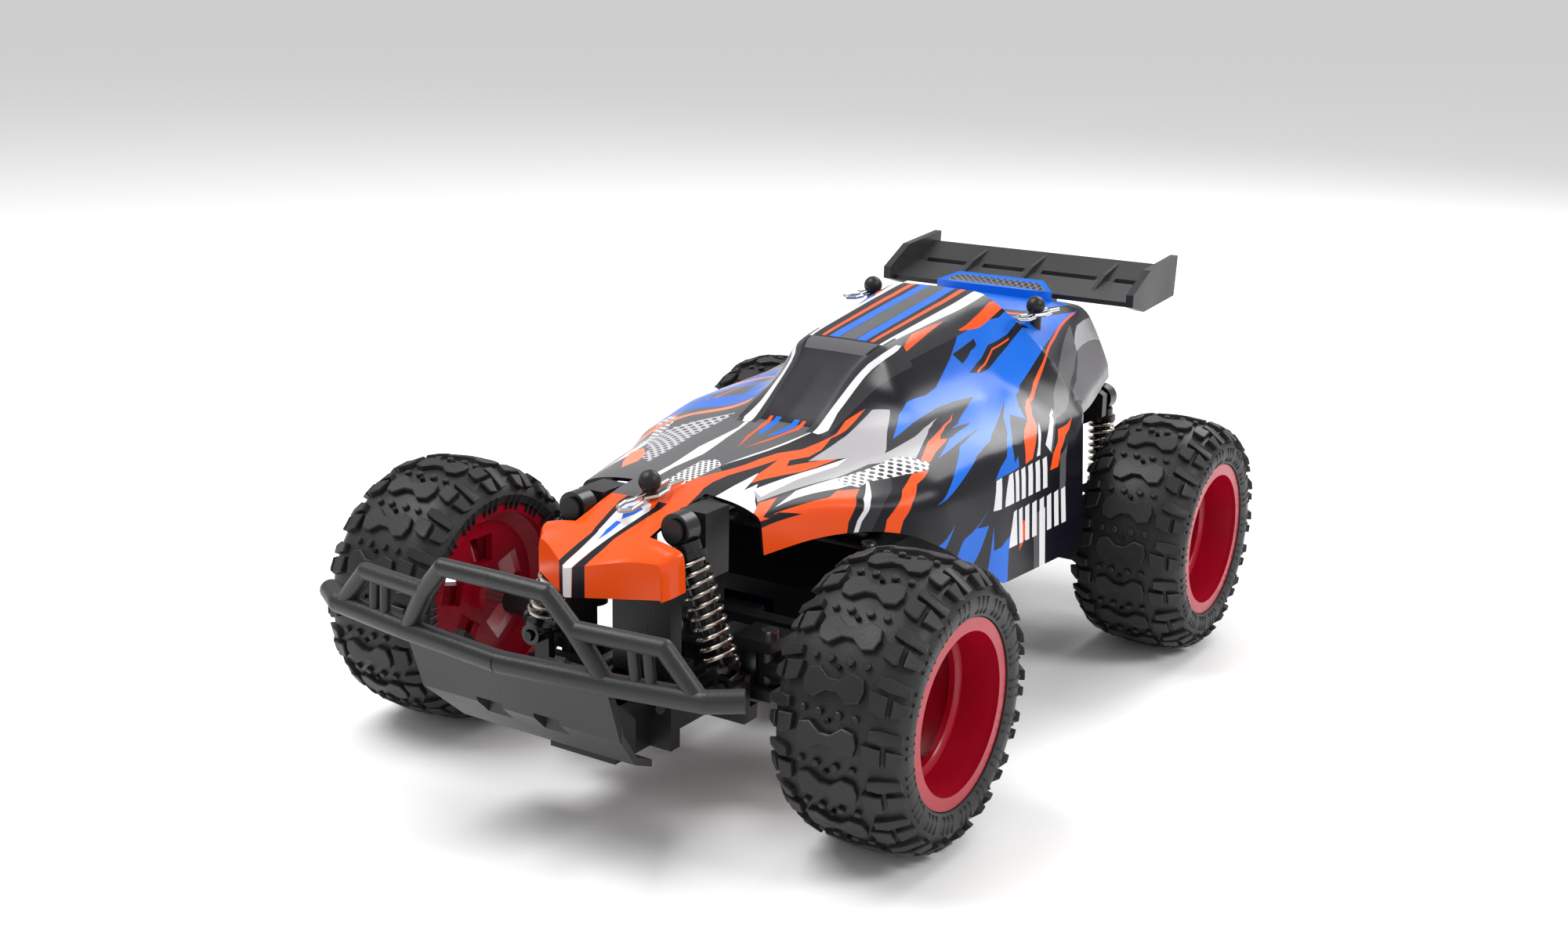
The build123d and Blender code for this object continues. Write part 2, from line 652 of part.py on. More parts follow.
def front_bumper():
    """Tube bumper with three hoops, a curved skid plate and two brackets to the spine."""
    front = front_axle_y - front_overhang + tube_thin + 0.4
    f = front_axle_y

    def half_lines():
        main = [(0, front + 0.8, 51.5), (32, front + 2.6, 52.5), (57, front + 5.0, 53.5), (64.5, front + 9.5, 54.0)]
        hoop = [(0, front - 0.4, 72.4), (16, front - 0.2, 72.2), (23, front + 0.8, 64.5), (31, front + 2.8, 52.5)]
        side = [(23, front + 0.8, 64.5), (46, front + 4.2, 64.0), (55.5, front + 5.0, 53.5)]
        rib = [(38, front + 2.8, 64.2), (39, front + 3.2, 53)]
        brace = [(42, front + 3.4, 64.1), (43, front + 3.6, 53)]
        return tube(main, tube_thick) + tube(hoop, tube_thin) + tube(side, tube_thin) \
            + tube(rib, 1.4) + tube(brace, 1.4)

    spine_end = f - spine_front
    curve = [(front + 2.0, 52.0), (front + 7.5, 36.0), (front + 18.0, 25.5)]
    inner = [(y + skid_wall * 0.9, z + skid_wall * 0.6) for y, z in reversed(curve)]
    ends = [(spine_end, belly + 2.6), (spine_end, belly + 2.6 + skid_wall)]
    skid = side_plate(curve + ends + inner, -skid_half_width, 2 * skid_half_width)
    taper = [(-40, front - 5), (40, front - 5), (skid_half_width, front + 8), (19, front + 40),
             (-19, front + 40), (-skid_half_width, front + 8)]
    wedge = extrude(make_face(Polyline(*[(x, y, 10) for x, y in taper], close=True)), 60, dir=(0, 0, 1))
    skid &= wedge
    for x in (-9, 9):
        skid -= block((x - 4, x + 4), (front + 7.0, front + 11.5), (belly, 60))
    bracket = side_plate([(front + 2.5, 52), (front + 9, 36.5), (front + 20, 26), (spine_end, belly + 3.6),
                          (spine_end, 30), (front + 14, 46), (front + 5, 55)], 14, 3)
    foot = block((spine_half_width - 3, 17), (spine_end - 3, spine_end), (belly + 5, 29.5))
    return both(half_lines()) + skid + both(bracket + foot)


# Body shell

def shell_sections():
    """Half sections of the shell: Y, then centre, plateau edge, waist, flank, shoulder and hem in X and Z."""
    f = front_axle_y
    return [
        (f - 40.3, (0, 68.0), (8, 67.9), (12, 67.7), (15, 67.3), (19.5, 66.6), (19.5, 59.5)),
        (f - 26.5, (0, 72.3), (8, 72.1), (12, 71.7), (16, 70.8), (20, 69.4), (20.3, 59.0)),
        (f - 10.3, (0, 77.0), (9, 76.8), (13, 76.4), (20, 75.8), (27, 74.0), (28, 65.0)),
        (f + 2.7, (0, 79.3), (9, 79.2), (16, 78.9), (23, 77.8), (28.5, 75.5), (29.5, 65.5)),
        (along(0.142), (0, 81.3), (9, 81.1), (18, 80.6), (28, 79.3), (35, 76.0), (37, 67.5)),
        (along(0.258), (0, 83.2), (9.5, 83.0), (20, 82.2), (34, 79.5), (45.5, 72.0), (48, 65.0)),
        (along(0.341), (0, 84.6), (10, 84.3), (22, 84.0), (40, 81.0), (52.5, 73.0), (53.5, 57.0)),
        (along(0.477), (0, 99.6), (11.5, 99.4), (23, 86.0), (42, 82.8), (55, 77.0), (60, 41.5)),
        (along(0.514), (0, 103.7), (15, 103.6), (24, 87.0), (42, 83.3), (56, 77.5), (60.5, 41.5)),
        (along(0.760), (0, 109.7), (16.3, 109.4), (27, 90.0), (44, 84.0), (57, 78.5), (63.5, 41.0)),
    ]


def shell_rear_sections():
    """The rest of the shell, over the rear wheels to the tail."""
    r = rear_axle_y
    return [
        (along(0.760), (0, 109.7), (16.3, 109.4), (27, 90.0), (44, 84.0), (57, 78.5), (57.2, 77.6)),
        (along(0.823), (0, 111.2), (16.3, 110.9), (28, 97.0), (43, 87.0), (56, 79.5), (56.2, 78.4)),
        (along(0.868), (0, 112.3), (16, 111.9), (29, 104.0), (43, 91.0), (52.5, 79.5), (53.0, 76.8)),
        (along(0.881), (0, 107.6), (17, 107.2), (29, 103.6), (42, 91.5), (50.8, 79.5), (51.2, 76.5)),
        (r - 0.7, (0, 106.6), (19, 106.0), (29, 102.4), (39, 92.0), (45.5, 80.0), (46.0, 75.0)),
        (r + 18.3, (0, 104.4), (21, 104.0), (29, 101.0), (36, 91.0), (41.0, 81.0), (41.5, 77.2)),
        (r + 32.3, (0, 101.4), (20, 101.2), (28.0, 100.6), (33, 92.5), (37.8, 82.0), (38.3, 77.6)),
    ]


def shell_segment(first, second):
    """Thin wall between two neighbouring sections."""
    def outline(section):
        y, *points = section
        inside = []
        for (x, z), (ox, oz) in zip(points, [(0, -1), (0, -1), (-0.5, -0.8), (-0.4, -0.9), (-0.9, -0.5), (-1, 0)]):
            inside.append((x + ox * shell_wall, z + oz * shell_wall))
        inside = [(max(x, 0), z) for x, z in inside]
        loop = [(x, y, z) for x, z in points] + [(x, y, z) for x, z in reversed(inside)]
        return Wire.make_polygon([Vector(*p) for p in loop], close=True)
    return Solid.make_loft([outline(first), outline(second)], ruled=True)


def body_shell():
    """Thin printed shell with cut-outs for the towers, the wheels and the posts."""
    front, rear = shell_sections(), shell_rear_sections()
    pairs = list(zip(front, front[1:])) + list(zip(rear, rear[1:]))
    half = None
    for first, second in pairs:
        piece = Part() + shell_segment(first, second)
        half = piece if half is None else half + piece
    f = front_axle_y
    half -= block((front_shock[1][0] - eye_radius - shell_clear, 60), (f - 21.0, f + 2.2), (50, 100))
    nose = [(0, f - 40.4), (25, f - 24.5), (25, f - 45), (0, f - 45)]
    half -= extrude(make_face(Polyline(*[(x, y, 50) for x, y in nose], close=True)), 40, dir=(0, 0, 1))
    shell = both(half)
    hole = post_radius + post_hole_gap
    shell -= rod((0, f + front_post_offset, 60), (0, f + front_post_offset, 95), hole)
    post_y = rear_axle_y + rear_post_offset
    shell -= both(rod((rear_post_x, post_y, 88), (rear_post_x, post_y, 115), hole))
    return shell


def post_places():
    """X, Y, base, ball centre, clip height and clip slope of each body post."""
    front_y, rear_y = front_axle_y + front_post_offset, rear_axle_y + rear_post_offset
    return [
        (0, front_y, 64.0, 82.3, 79.7, 0.12),
        (rear_post_x, rear_y, 87.0, 107.8, 105.5, 0.0),
        (-rear_post_x, rear_y, 87.0, 107.8, 105.5, 0.0),
    ]


def body_posts():
    """Three posts with ball heads that hold the shell, each with a hole for its clip."""
    posts = []
    for x, y, base, ball, clip, slope in post_places():
        post = rod((x, y, base), (x, y, ball), post_radius) + Pos(x, y, ball) * Sphere(post_ball)
        posts.append(post - rod((x, y - 8, clip - 8 * slope), (x, y + 8, clip + 8 * slope), clip_wire + running_fit))
    return Compound(posts)


def body_clips():
    """Wire clips: a straight leg through the post, a leg bent around it and a finger loop."""
    clips = []
    for x, y, _, ball, clip, slope in post_places():
        side = -1 if x < 0 else 1

        def at(across, along_y):
            return (x + side * across, y + along_y, clip + along_y * slope)

        straight = tube([at(0, 8), at(0, -6.5)], clip_wire)
        bent = tube([at(0, -6.5), at(-1.2, -9), at(-0.8, -12.5), at(1.4, -14.5), at(3.7, -12.5), at(3.4, -8),
                     at(2.2, -5.5), at(4.3, -2), at(4.3, 2), at(2.4, 5.5), at(3.4, 10)], clip_wire)
        clips.append(straight + bent)
    return Compound(clips)


# Wing

def rear_wing():
    """Wing with a slotted main plate, a steeper flap, three ribs and two end plates."""
    (front, z_front), (hinge, z_hinge), (rear, z_rear) = wing_line
    tip = rear_axle_y + rear_overhang
    w = wing_half_width
    under = [(y, z - wing_wall) for y, z in reversed(wing_line)]
    shape = side_plate(wing_line + under, -w, 2 * w)
    edges = [-w, -22.5, 0.6, 28.2, w]
    for low, high in zip(edges, edges[1:]):
        shape -= block((low + 3.4, high - 3.4), (hinge - 0.4, hinge + 2.2), (z_hinge - 6, z_hinge + 6))
    for x in edges[1:-1]:
        rib = [(front + 6, z_front + 1.0), (hinge, z_hinge + 2.2), (rear - 2, z_rear - 0.8), (hinge, z_hinge - 0.8)]
        shape += side_plate(rib, x - 0.6, 1.2)
    end = [(tip - 38.1, z_front + 3.2), (tip - 24.5, z_front + 9.9), (tip, 116.4), (tip, 114.5),
           (tip - 1.2, 102.5), (tip - 28, z_front - 3.7), (tip - 38.1, z_front - 0.9)]
    return shape + both(side_plate(end, w, end_plate_wall))


def wing_bracket():
    """Two struts from the rear tower to the underside of the wing."""
    (front, z_front), (hinge, z_hinge), _ = wing_line
    slope = (z_hinge - z_front) / (hinge - front)

    def under(y):
        return (y, z_front + (y - front) * slope - wing_wall)

    y = rear_plate_y
    outline = [(y, 74), (y, 86), (front + 7.0, 98.0), under(front + 7.5), under(hinge - 2.0),
               (hinge - 2.5, 101.0), (y + 9, 75)]
    return both(side_plate(outline, 10, 2.4)) + block((-12.4, 12.4), (y, y + 2.0), (76, 85))


def export(name, shape):
    """Writes one piece as parts/NAME.step."""
    shape.label = name
    export_step(shape, f"parts/{name}.step")


def main():
    os.makedirs("parts", exist_ok=True)
    pieces = {
        "chassis_tub": chassis_tub(), "top_cover": top_cover(), "battery_hatch": battery_hatch(),
        "battery_pack": battery_pack(), "receiver_board": receiver_board(), "power_switch": power_switch(),
        "front_bumper": front_bumper(), "front_tower": front_tower(), "rear_tower": rear_tower(),
        "hinge_pins": hinge_pins(), "chassis_screws": chassis_screws(), "body_shell": body_shell(),
        "body_posts": body_posts(), "body_clips": body_clips(), "rear_wing": rear_wing(),
        "wing_bracket": wing_bracket(), "gear_case_left": gear_case(1), "gear_case_right": gear_case(-1),
        "drive_motor": drive_motor(), "motor_pinion": motor_pinion(), "differential": differential(),
        "steering_servo": steering_servo(), "servo_horn": servo_horn(), "steering_link": steering_link(),
    }
    front_body, front_rod, front_spring = shock_parts(front_axle_y, front_shock)
    rear_body, rear_rod, rear_spring = shock_parts(rear_axle_y, rear_shock)
    left = {
        "front_arm": front_arm(), "kingpin": kingpin(), "knuckle": knuckle(), "stub_axle": stub_axle(),
        "front_tyre": tyre(front_axle_y), "front_rim": rim(front_axle_y, axle_radius + running_fit),
        "front_shock_body": front_body, "front_shock_rod": front_rod, "front_spring": front_spring,
        "rear_arm": rear_arm(), "drive_shaft": drive_shaft(), "wheel_nut": wheel_nut(),
        "rear_tyre": tyre(rear_axle_y), "rear_rim": rim(rear_axle_y, axle_radius),
        "rear_shock_body": rear_body, "rear_shock_rod": rear_rod, "rear_spring": rear_spring,
    }
    for name, shape in left.items():
        pieces[name + "_left"] = shape
        pieces[name + "_right"] = mirrored(shape)
    for name, shape in pieces.items():
        export(name, shape)


main()
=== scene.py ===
import bpy
import bmesh
import json
import math
from mathutils import Matrix, Vector


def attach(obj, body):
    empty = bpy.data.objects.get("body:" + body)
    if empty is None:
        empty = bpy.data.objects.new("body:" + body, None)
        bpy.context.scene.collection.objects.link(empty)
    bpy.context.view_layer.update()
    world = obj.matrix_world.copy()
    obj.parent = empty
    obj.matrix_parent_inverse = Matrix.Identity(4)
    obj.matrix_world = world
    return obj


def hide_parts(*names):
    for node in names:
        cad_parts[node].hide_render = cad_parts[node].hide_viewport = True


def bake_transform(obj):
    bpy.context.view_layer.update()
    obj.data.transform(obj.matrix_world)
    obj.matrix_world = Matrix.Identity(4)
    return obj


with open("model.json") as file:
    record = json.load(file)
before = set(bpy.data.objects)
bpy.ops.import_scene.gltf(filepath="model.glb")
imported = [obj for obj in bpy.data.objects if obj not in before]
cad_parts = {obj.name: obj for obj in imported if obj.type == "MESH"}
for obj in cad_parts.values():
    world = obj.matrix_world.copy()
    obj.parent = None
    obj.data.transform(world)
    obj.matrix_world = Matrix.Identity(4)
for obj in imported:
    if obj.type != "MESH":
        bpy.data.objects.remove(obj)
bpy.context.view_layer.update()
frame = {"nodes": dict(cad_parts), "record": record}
print("frame loaded:", len(frame["nodes"]), "nodes")

mm = 0.001
frontAxle = -84.05   # the car's own places, in mm along Y
rearAxle = 89.35
midShift = 2.65      # middle of the wheelbase
axles = (("front", frontAxle), ("rear", rearAxle))
sides = (("left", 1), ("right", -1))


def linear(hexColour):
    # sRGB hex to the linear colour the shader takes
    parts = [int(hexColour[i:i + 2], 16) / 255 for i in (0, 2, 4)]
    return tuple(p / 12.92 if p <= 0.04045 else ((p + 0.055) / 1.055) ** 2.4 for p in parts) + (1.0,)


def newMaterial(name):
    material = bpy.data.materials.new(name)
    material.use_nodes = True
    tree = material.node_tree
    return material, tree.nodes, tree.links, tree.nodes["Principled BSDF"]


usualLook = {"grain": 900, "grainDetail": 3, "patch": 35, "patchDetail": 2, "depth": 0.0002, "specular": 0.5,
             "patchFrom": 0.35, "patchTo": 0.65, "coatRough": 0.05}


def noiseAt(nodes, links, place, scale, detail):
    noise = nodes.new("ShaderNodeTexNoise")
    noise.inputs["Scale"].default_value = scale
    noise.inputs["Detail"].default_value = detail
    links.new(place.outputs["Object"], noise.inputs["Vector"])
    return noise


def speckled(name, look):
    # one finish: a colour that varies a little, grain in the bump and in the roughness
    material, nodes, links, shader = newMaterial(name)
    place = nodes.new("ShaderNodeTexCoord")
    grain = noiseAt(nodes, links, place, look.get("grain", usualLook["grain"]), usualLook["grainDetail"])
    patch = noiseAt(nodes, links, place, look.get("patch", usualLook["patch"]), usualLook["patchDetail"])
    tint = nodes.new("ShaderNodeMix")
    tint.data_type = "RGBA"
    tint.inputs["A"].default_value = linear(look["colour"])
    tint.inputs["B"].default_value = linear(look.get("second", look["colour"]))
    links.new(patch.outputs["Fac"], tint.inputs["Factor"])
    links.new(tint.outputs["Result"], shader.inputs["Base Color"])
    rough = nodes.new("ShaderNodeMapRange")
    low, high = look["rough"]
    rough.inputs["From Min"].default_value = usualLook["patchFrom"]
    rough.inputs["From Max"].default_value = usualLook["patchTo"]
    rough.inputs["To Min"].default_value = low
    rough.inputs["To Max"].default_value = high
    links.new(patch.outputs["Fac"], rough.inputs["Value"])
    links.new(rough.outputs["Result"], shader.inputs["Roughness"])
    if look.get("bump"):
        bump = nodes.new("ShaderNodeBump")
        bump.inputs["Strength"].default_value = look["bump"]
        bump.inputs["Distance"].default_value = look.get("depth", usualLook["depth"])
        links.new(grain.outputs["Fac"], bump.inputs["Height"])
        links.new(bump.outputs["Normal"], shader.inputs["Normal"])
    shader.inputs["Metallic"].default_value = look.get("metal", 0)
    shader.inputs["Coat Weight"].default_value = look.get("coat", 0)
    shader.inputs["Coat Roughness"].default_value = usualLook["coatRough"]
    shader.inputs["Specular IOR Level"].default_value = look.get("specular", usualLook["specular"])
    return material


finishes = {
    "blackPlastic": {"colour": "161617", "second": "1e1e20", "specular": 0.35, "rough": (0.3, 0.44),
                     "bump": 0.25, "grain": 1400},
    "bumperPlastic": {"colour": "1e1e20", "second": "28282a", "specular": 0.4, "rough": (0.34, 0.46),
                      "bump": 0.35, "grain": 1100},
    "shockPlastic": {"colour": "0f0f10", "second": "19181a", "rough": (0.2, 0.32), "bump": 0.1,
                     "grain": 1600},
    "tyreRubber": {"colour": "19191a", "second": "242425", "specular": 0.35, "rough": (0.42, 0.58),
                   "bump": 0.35, "grain": 1500, "patch": 60},
    "rimRed": {"colour": "b00a26", "second": "960620", "rough": (0.24, 0.34), "coat": 0.08, "specular": 0.35,
               "bump": 0.05, "patch": 50},
    "steel": {"colour": "b8b8ba", "second": "9fa0a3", "rough": (0.25, 0.4), "metal": 1},
    "springSteel": {"colour": "c9c2b6", "second": "a9a196", "rough": (0.16, 0.3), "metal": 1, "patch": 300},
    "clipWire": {"colour": "dcdcd8", "second": "c4c4c2", "rough": (0.12, 0.24), "metal": 1, "patch": 200},
    "brass": {"colour": "b08d4a", "second": "a07e40", "rough": (0.25, 0.4), "metal": 1},
    "nylon": {"colour": "d6d3c9", "second": "cbc8bd", "rough": (0.45, 0.6), "bump": 0.1},
    "servoCase": {"colour": "26282c", "second": "303238", "rough": (0.4, 0.5), "bump": 0.3},
    "batteryWrap": {"colour": "163a86", "second": "0f2c6c", "rough": (0.2, 0.35), "coat": 0.4},
    "board": {"colour": "0e5a2c", "second": "0b4a24", "rough": (0.35, 0.5)},
}
made = {name: speckled(name, look) for name, look in finishes.items()}

slotFinish = {
    "black_plastic": "blackPlastic", "shock_plastic": "shockPlastic", "servo_plastic": "servoCase",
    "shell_print": "blackPlastic", "tyre_rubber": "tyreRubber", "rim_red": "rimRed",
    "spring_steel": "springSteel", "clip_wire": "clipWire", "steel": "steel", "motor_can": "steel",
    "brass_gear": "brass", "gear_plastic": "nylon", "battery_wrap": "batteryWrap", "board_green": "board",
}
slotOf = {part["node"]: part["material_slot"] for part in frame["record"]["subparts"]}
coarser = ("front_bumper", "rear_wing")   # thick mouldings with a coarser grain
for nodeName, node in frame["nodes"].items():
    finish = made["bumperPlastic" if nodeName in coarser else slotFinish[slotOf[nodeName]]]
    node.data.materials.clear()
    node.data.materials.append(finish)
print("finishes on the carried-over nodes")


def finishPiece(bm, name, body, materials, standsFor=(), smoothAngle=35, turnOut=True):
    if turnOut:
        bmesh.ops.recalc_face_normals(bm, faces=bm.faces)
    mesh = bpy.data.meshes.new(name)
    bm.to_mesh(mesh)
    bm.free()
    for material in materials:
        mesh.materials.append(material)
    mesh.polygons.foreach_set("use_smooth", [True] * len(mesh.polygons))
    mesh.set_sharp_from_angle(angle=math.radians(smoothAngle))
    piece = bpy.data.objects.new(name, mesh)
    bpy.context.scene.collection.objects.link(piece)
    if body:
        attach(piece, body)
    if standsFor:
        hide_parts(*standsFor)
    return piece


# the body shell: half sections from nose to tail. Each row: place along the car from the middle of the
# wheelbase, rounding towards the next rows, then six points (across, up) from the centre line to the hem
shellRows = [
    (-135, 0.10, [(0, 60.5), (8, 60.2), (12, 60.0), (15, 59.9), (19.3, 59.7), (19.4, 59.0)]),
    (-127, 0.16, [(0, 68.1), (8, 69.4), (12, 70.0), (15, 69.9), (19.4, 69.2), (19.6, 59.2)]),
    (-110, 0.50, [(0, 73.2), (8, 73.0), (12, 72.6), (16.8, 71.7), (21.3, 70.3), (21.6, 60.0)]),
    (-97, 0.50, [(0, 77.0), (9, 76.8), (13, 76.4), (20, 75.8), (27, 74.0), (28, 65.0)]),
    (-84, 0.50, [(0, 79.3), (9, 79.2), (16, 78.9), (23, 77.8), (28.5, 75.5), (29.5, 65.5)]),
    (-62, 0.50, [(0, 81.3), (9, 81.1), (18, 80.6), (28, 79.3), (35, 76.0), (37, 67.5)]),
    (-42, 0.50, [(0, 83.2), (9.5, 83.0), (20, 82.2), (34, 79.5), (45.5, 72.0), (48, 65.0)]),
    (-27.6, 0.12, [(0, 84.6), (10, 84.3), (22, 84.0), (40, 81.0), (52.5, 73.0), (53.5, 57.0)]),
    (-4, 0.30, [(0, 99.6), (11.5, 99.4), (23, 86.0), (42, 82.8), (55, 77.0), (60, 41.5)]),
    (2.4, 0.30, [(0, 103.7), (15, 103.6), (24, 87.0), (42, 83.3), (56, 77.5), (60.5, 41.5)]),
    (45, 0.20, [(0, 109.7), (16.3, 109.4), (27, 90.0), (44, 84.0), (57, 78.5), (63.3, 41.0)]),
    (49.5, 0.20, [(0, 110.2), (16.3, 109.9), (27.3, 92.5), (44, 85.0), (56.8, 79.0), (60.0, 62.5)]),
    (56, 0.30, [(0, 111.2), (16.3, 110.9), (28, 97.0), (43, 87.0), (56, 79.5), (56.2, 78.4)]),
    (63.8, 0.08, [(0, 112.3), (16, 111.9), (29, 104.0), (43, 91.0), (52.5, 79.5), (53.0, 76.8)]),
    (66, 0.30, [(0, 107.6), (17, 107.2), (29, 103.6), (42, 91.5), (50.8, 79.5), (51.2, 76.5)]),
    (86, 0.50, [(0, 106.6), (19, 106.0), (29, 102.4), (39, 92.0), (45.5, 80.0), (46.0, 75.0)]),
    (105, 0.50, [(0, 104.4), (21, 104.0), (29, 101.0), (36, 91.0), (41.0, 81.0), (41.5, 77.2)]),
    (118, 0.50, [(0, 101.8), (20, 101.5), (28.0, 100.8), (33, 92.5), (37.8, 82.0), (38.3, 77.6)]),
]
cornerRounding = [0, 0.22, 0.5, 0.5, 0.30, 0]
noseTip = -127   # in plan the nose runs back from its tip to its corners
noseCorner = 13.6
noseHalfWidth = 19.4
noseBack = -110   # where the nose's shape in plan starts


def onLine(places, values, rounding, at):
    # a bent line with rounded corners through values at places
    last = len(places) - 1
    i = 0
    while i < last - 1 and at > places[i + 1]:
        i += 1
    share = min(max((at - places[i]) / (places[i + 1] - places[i]), 0), 1)
    for corner, near in ((i, share), (i + 1, 1 - share)):
        reach = rounding[corner]
        if 0 < corner < last and near < reach:
            before = values[corner].lerp(values[corner - 1], reach)
            after = values[corner].lerp(values[corner + 1], reach)
            t = 0.5 + 0.5 * near / reach if corner == i else 0.5 - 0.5 * near / reach
            return before * (1 - t) ** 2 + values[corner] * 2 * t * (1 - t) + after * t ** 2
    return values[i].lerp(values[i + 1], share)


rowPlaces = [row[0] for row in shellRows]
rowRounding = [row[1] for row in shellRows]
rowLines = [[Vector((row[2][k][0], row[0], row[2][k][1])) for row in shellRows] for k in range(6)]


def shellPoint(along, around):
    # around: 0 on the centre line, 5 at the hem, below 0 on the right side
    side = -1 if around < 0 else 1
    section = [onLine(rowPlaces, line, rowRounding, along) for line in rowLines]
    point = onLine(list(range(6)), section, cornerRounding, abs(around))
    nose = noseTip + noseCorner * min(point.x / noseHalfWidth, 1)
    if along < noseBack:
        share = min(max((along - noseBack) / (noseTip - noseBack), 0), 1)
        point.y = noseBack + (nose - noseBack) * share
    return Vector((side * point.x, point.y + midShift, point.z)) * mm


paints = {
    "black": "0e0d17", "orange": "fb5514", "blue": "0868d8", "grey": "58585a", "darkGrey": "313134",
    "lightGrey": "a8a6a8", "white": "e6e6e8", "salmon": "f88a68", "haunch": "615e63",
}
shellPaints = {}
for name, colour in paints.items():
    deeper = "".join("%02x" % int(int(colour[i:i + 2], 16) * 0.93) for i in (0, 2, 4))
    shellPaints[name] = speckled("print_" + name, {
        "colour": colour, "second": deeper, "rough": (0.2, 0.3), "specular": 0.3, "patch": 40,
        "bump": 0.04, "grain": 700, "depth": 0.0001})


def ovalPrint(name, ground, spot, pitch, size):
    # rows of small ovals, every other row half a step along, read from the sheet's own map in mm
    material, nodes, links, shader = newMaterial(name)
    sheetMap = nodes.new("ShaderNodeTexCoord")
    fit = nodes.new("ShaderNodeMapping")
    fit.inputs["Scale"].default_value = (math.sqrt(2) / pitch[0], math.sqrt(0.5) / pitch[1], 1)
    fit.inputs["Rotation"].default_value = (0, 0, math.radians(45))
    cells = nodes.new("ShaderNodeTexVoronoi")
    cells.voronoi_dimensions = "2D"
    cells.inputs["Scale"].default_value = 1
    cells.inputs["Randomness"].default_value = 0
    edge = nodes.new("ShaderNodeMapRange")
    edge.inputs["From Min"].default_value = size
    edge.inputs["From Max"].default_value = size + 0.05
    tint = nodes.new("ShaderNodeMix")
    tint.data_type = "RGBA"
    tint.inputs["A"].default_value = linear(spot)
    tint.inputs["B"].default_value = linear(ground)
    links.new(sheetMap.outputs["UV"], fit.inputs["Vector"])
    links.new(fit.outputs["Vector"], cells.inputs["Vector"])
    links.new(cells.outputs["Distance"], edge.inputs["Value"])
    links.new(edge.outputs["Result"], tint.inputs["Factor"])
    links.new(tint.outputs["Result"], shader.inputs["Base Color"])
    shader.inputs["Roughness"].default_value = 0.22
    shader.inputs["Coat Weight"].default_value = 0.15
    return material


shellPaints["holes"] = ovalPrint("print_holes", "e6e4e6", "201d28", (2.9, 1.5), 0.33)
shellPaints["greyHoles"] = ovalPrint("print_grey_holes", "bdbbbe", "3a3840", (3.6, 2.0), 0.30)
shellPaints["diamonds"] = ovalPrint("print_diamonds", "6a6a70", "1a1a1f", (2.4, 1.2), 0.40)
paintOrder = list(shellPaints)

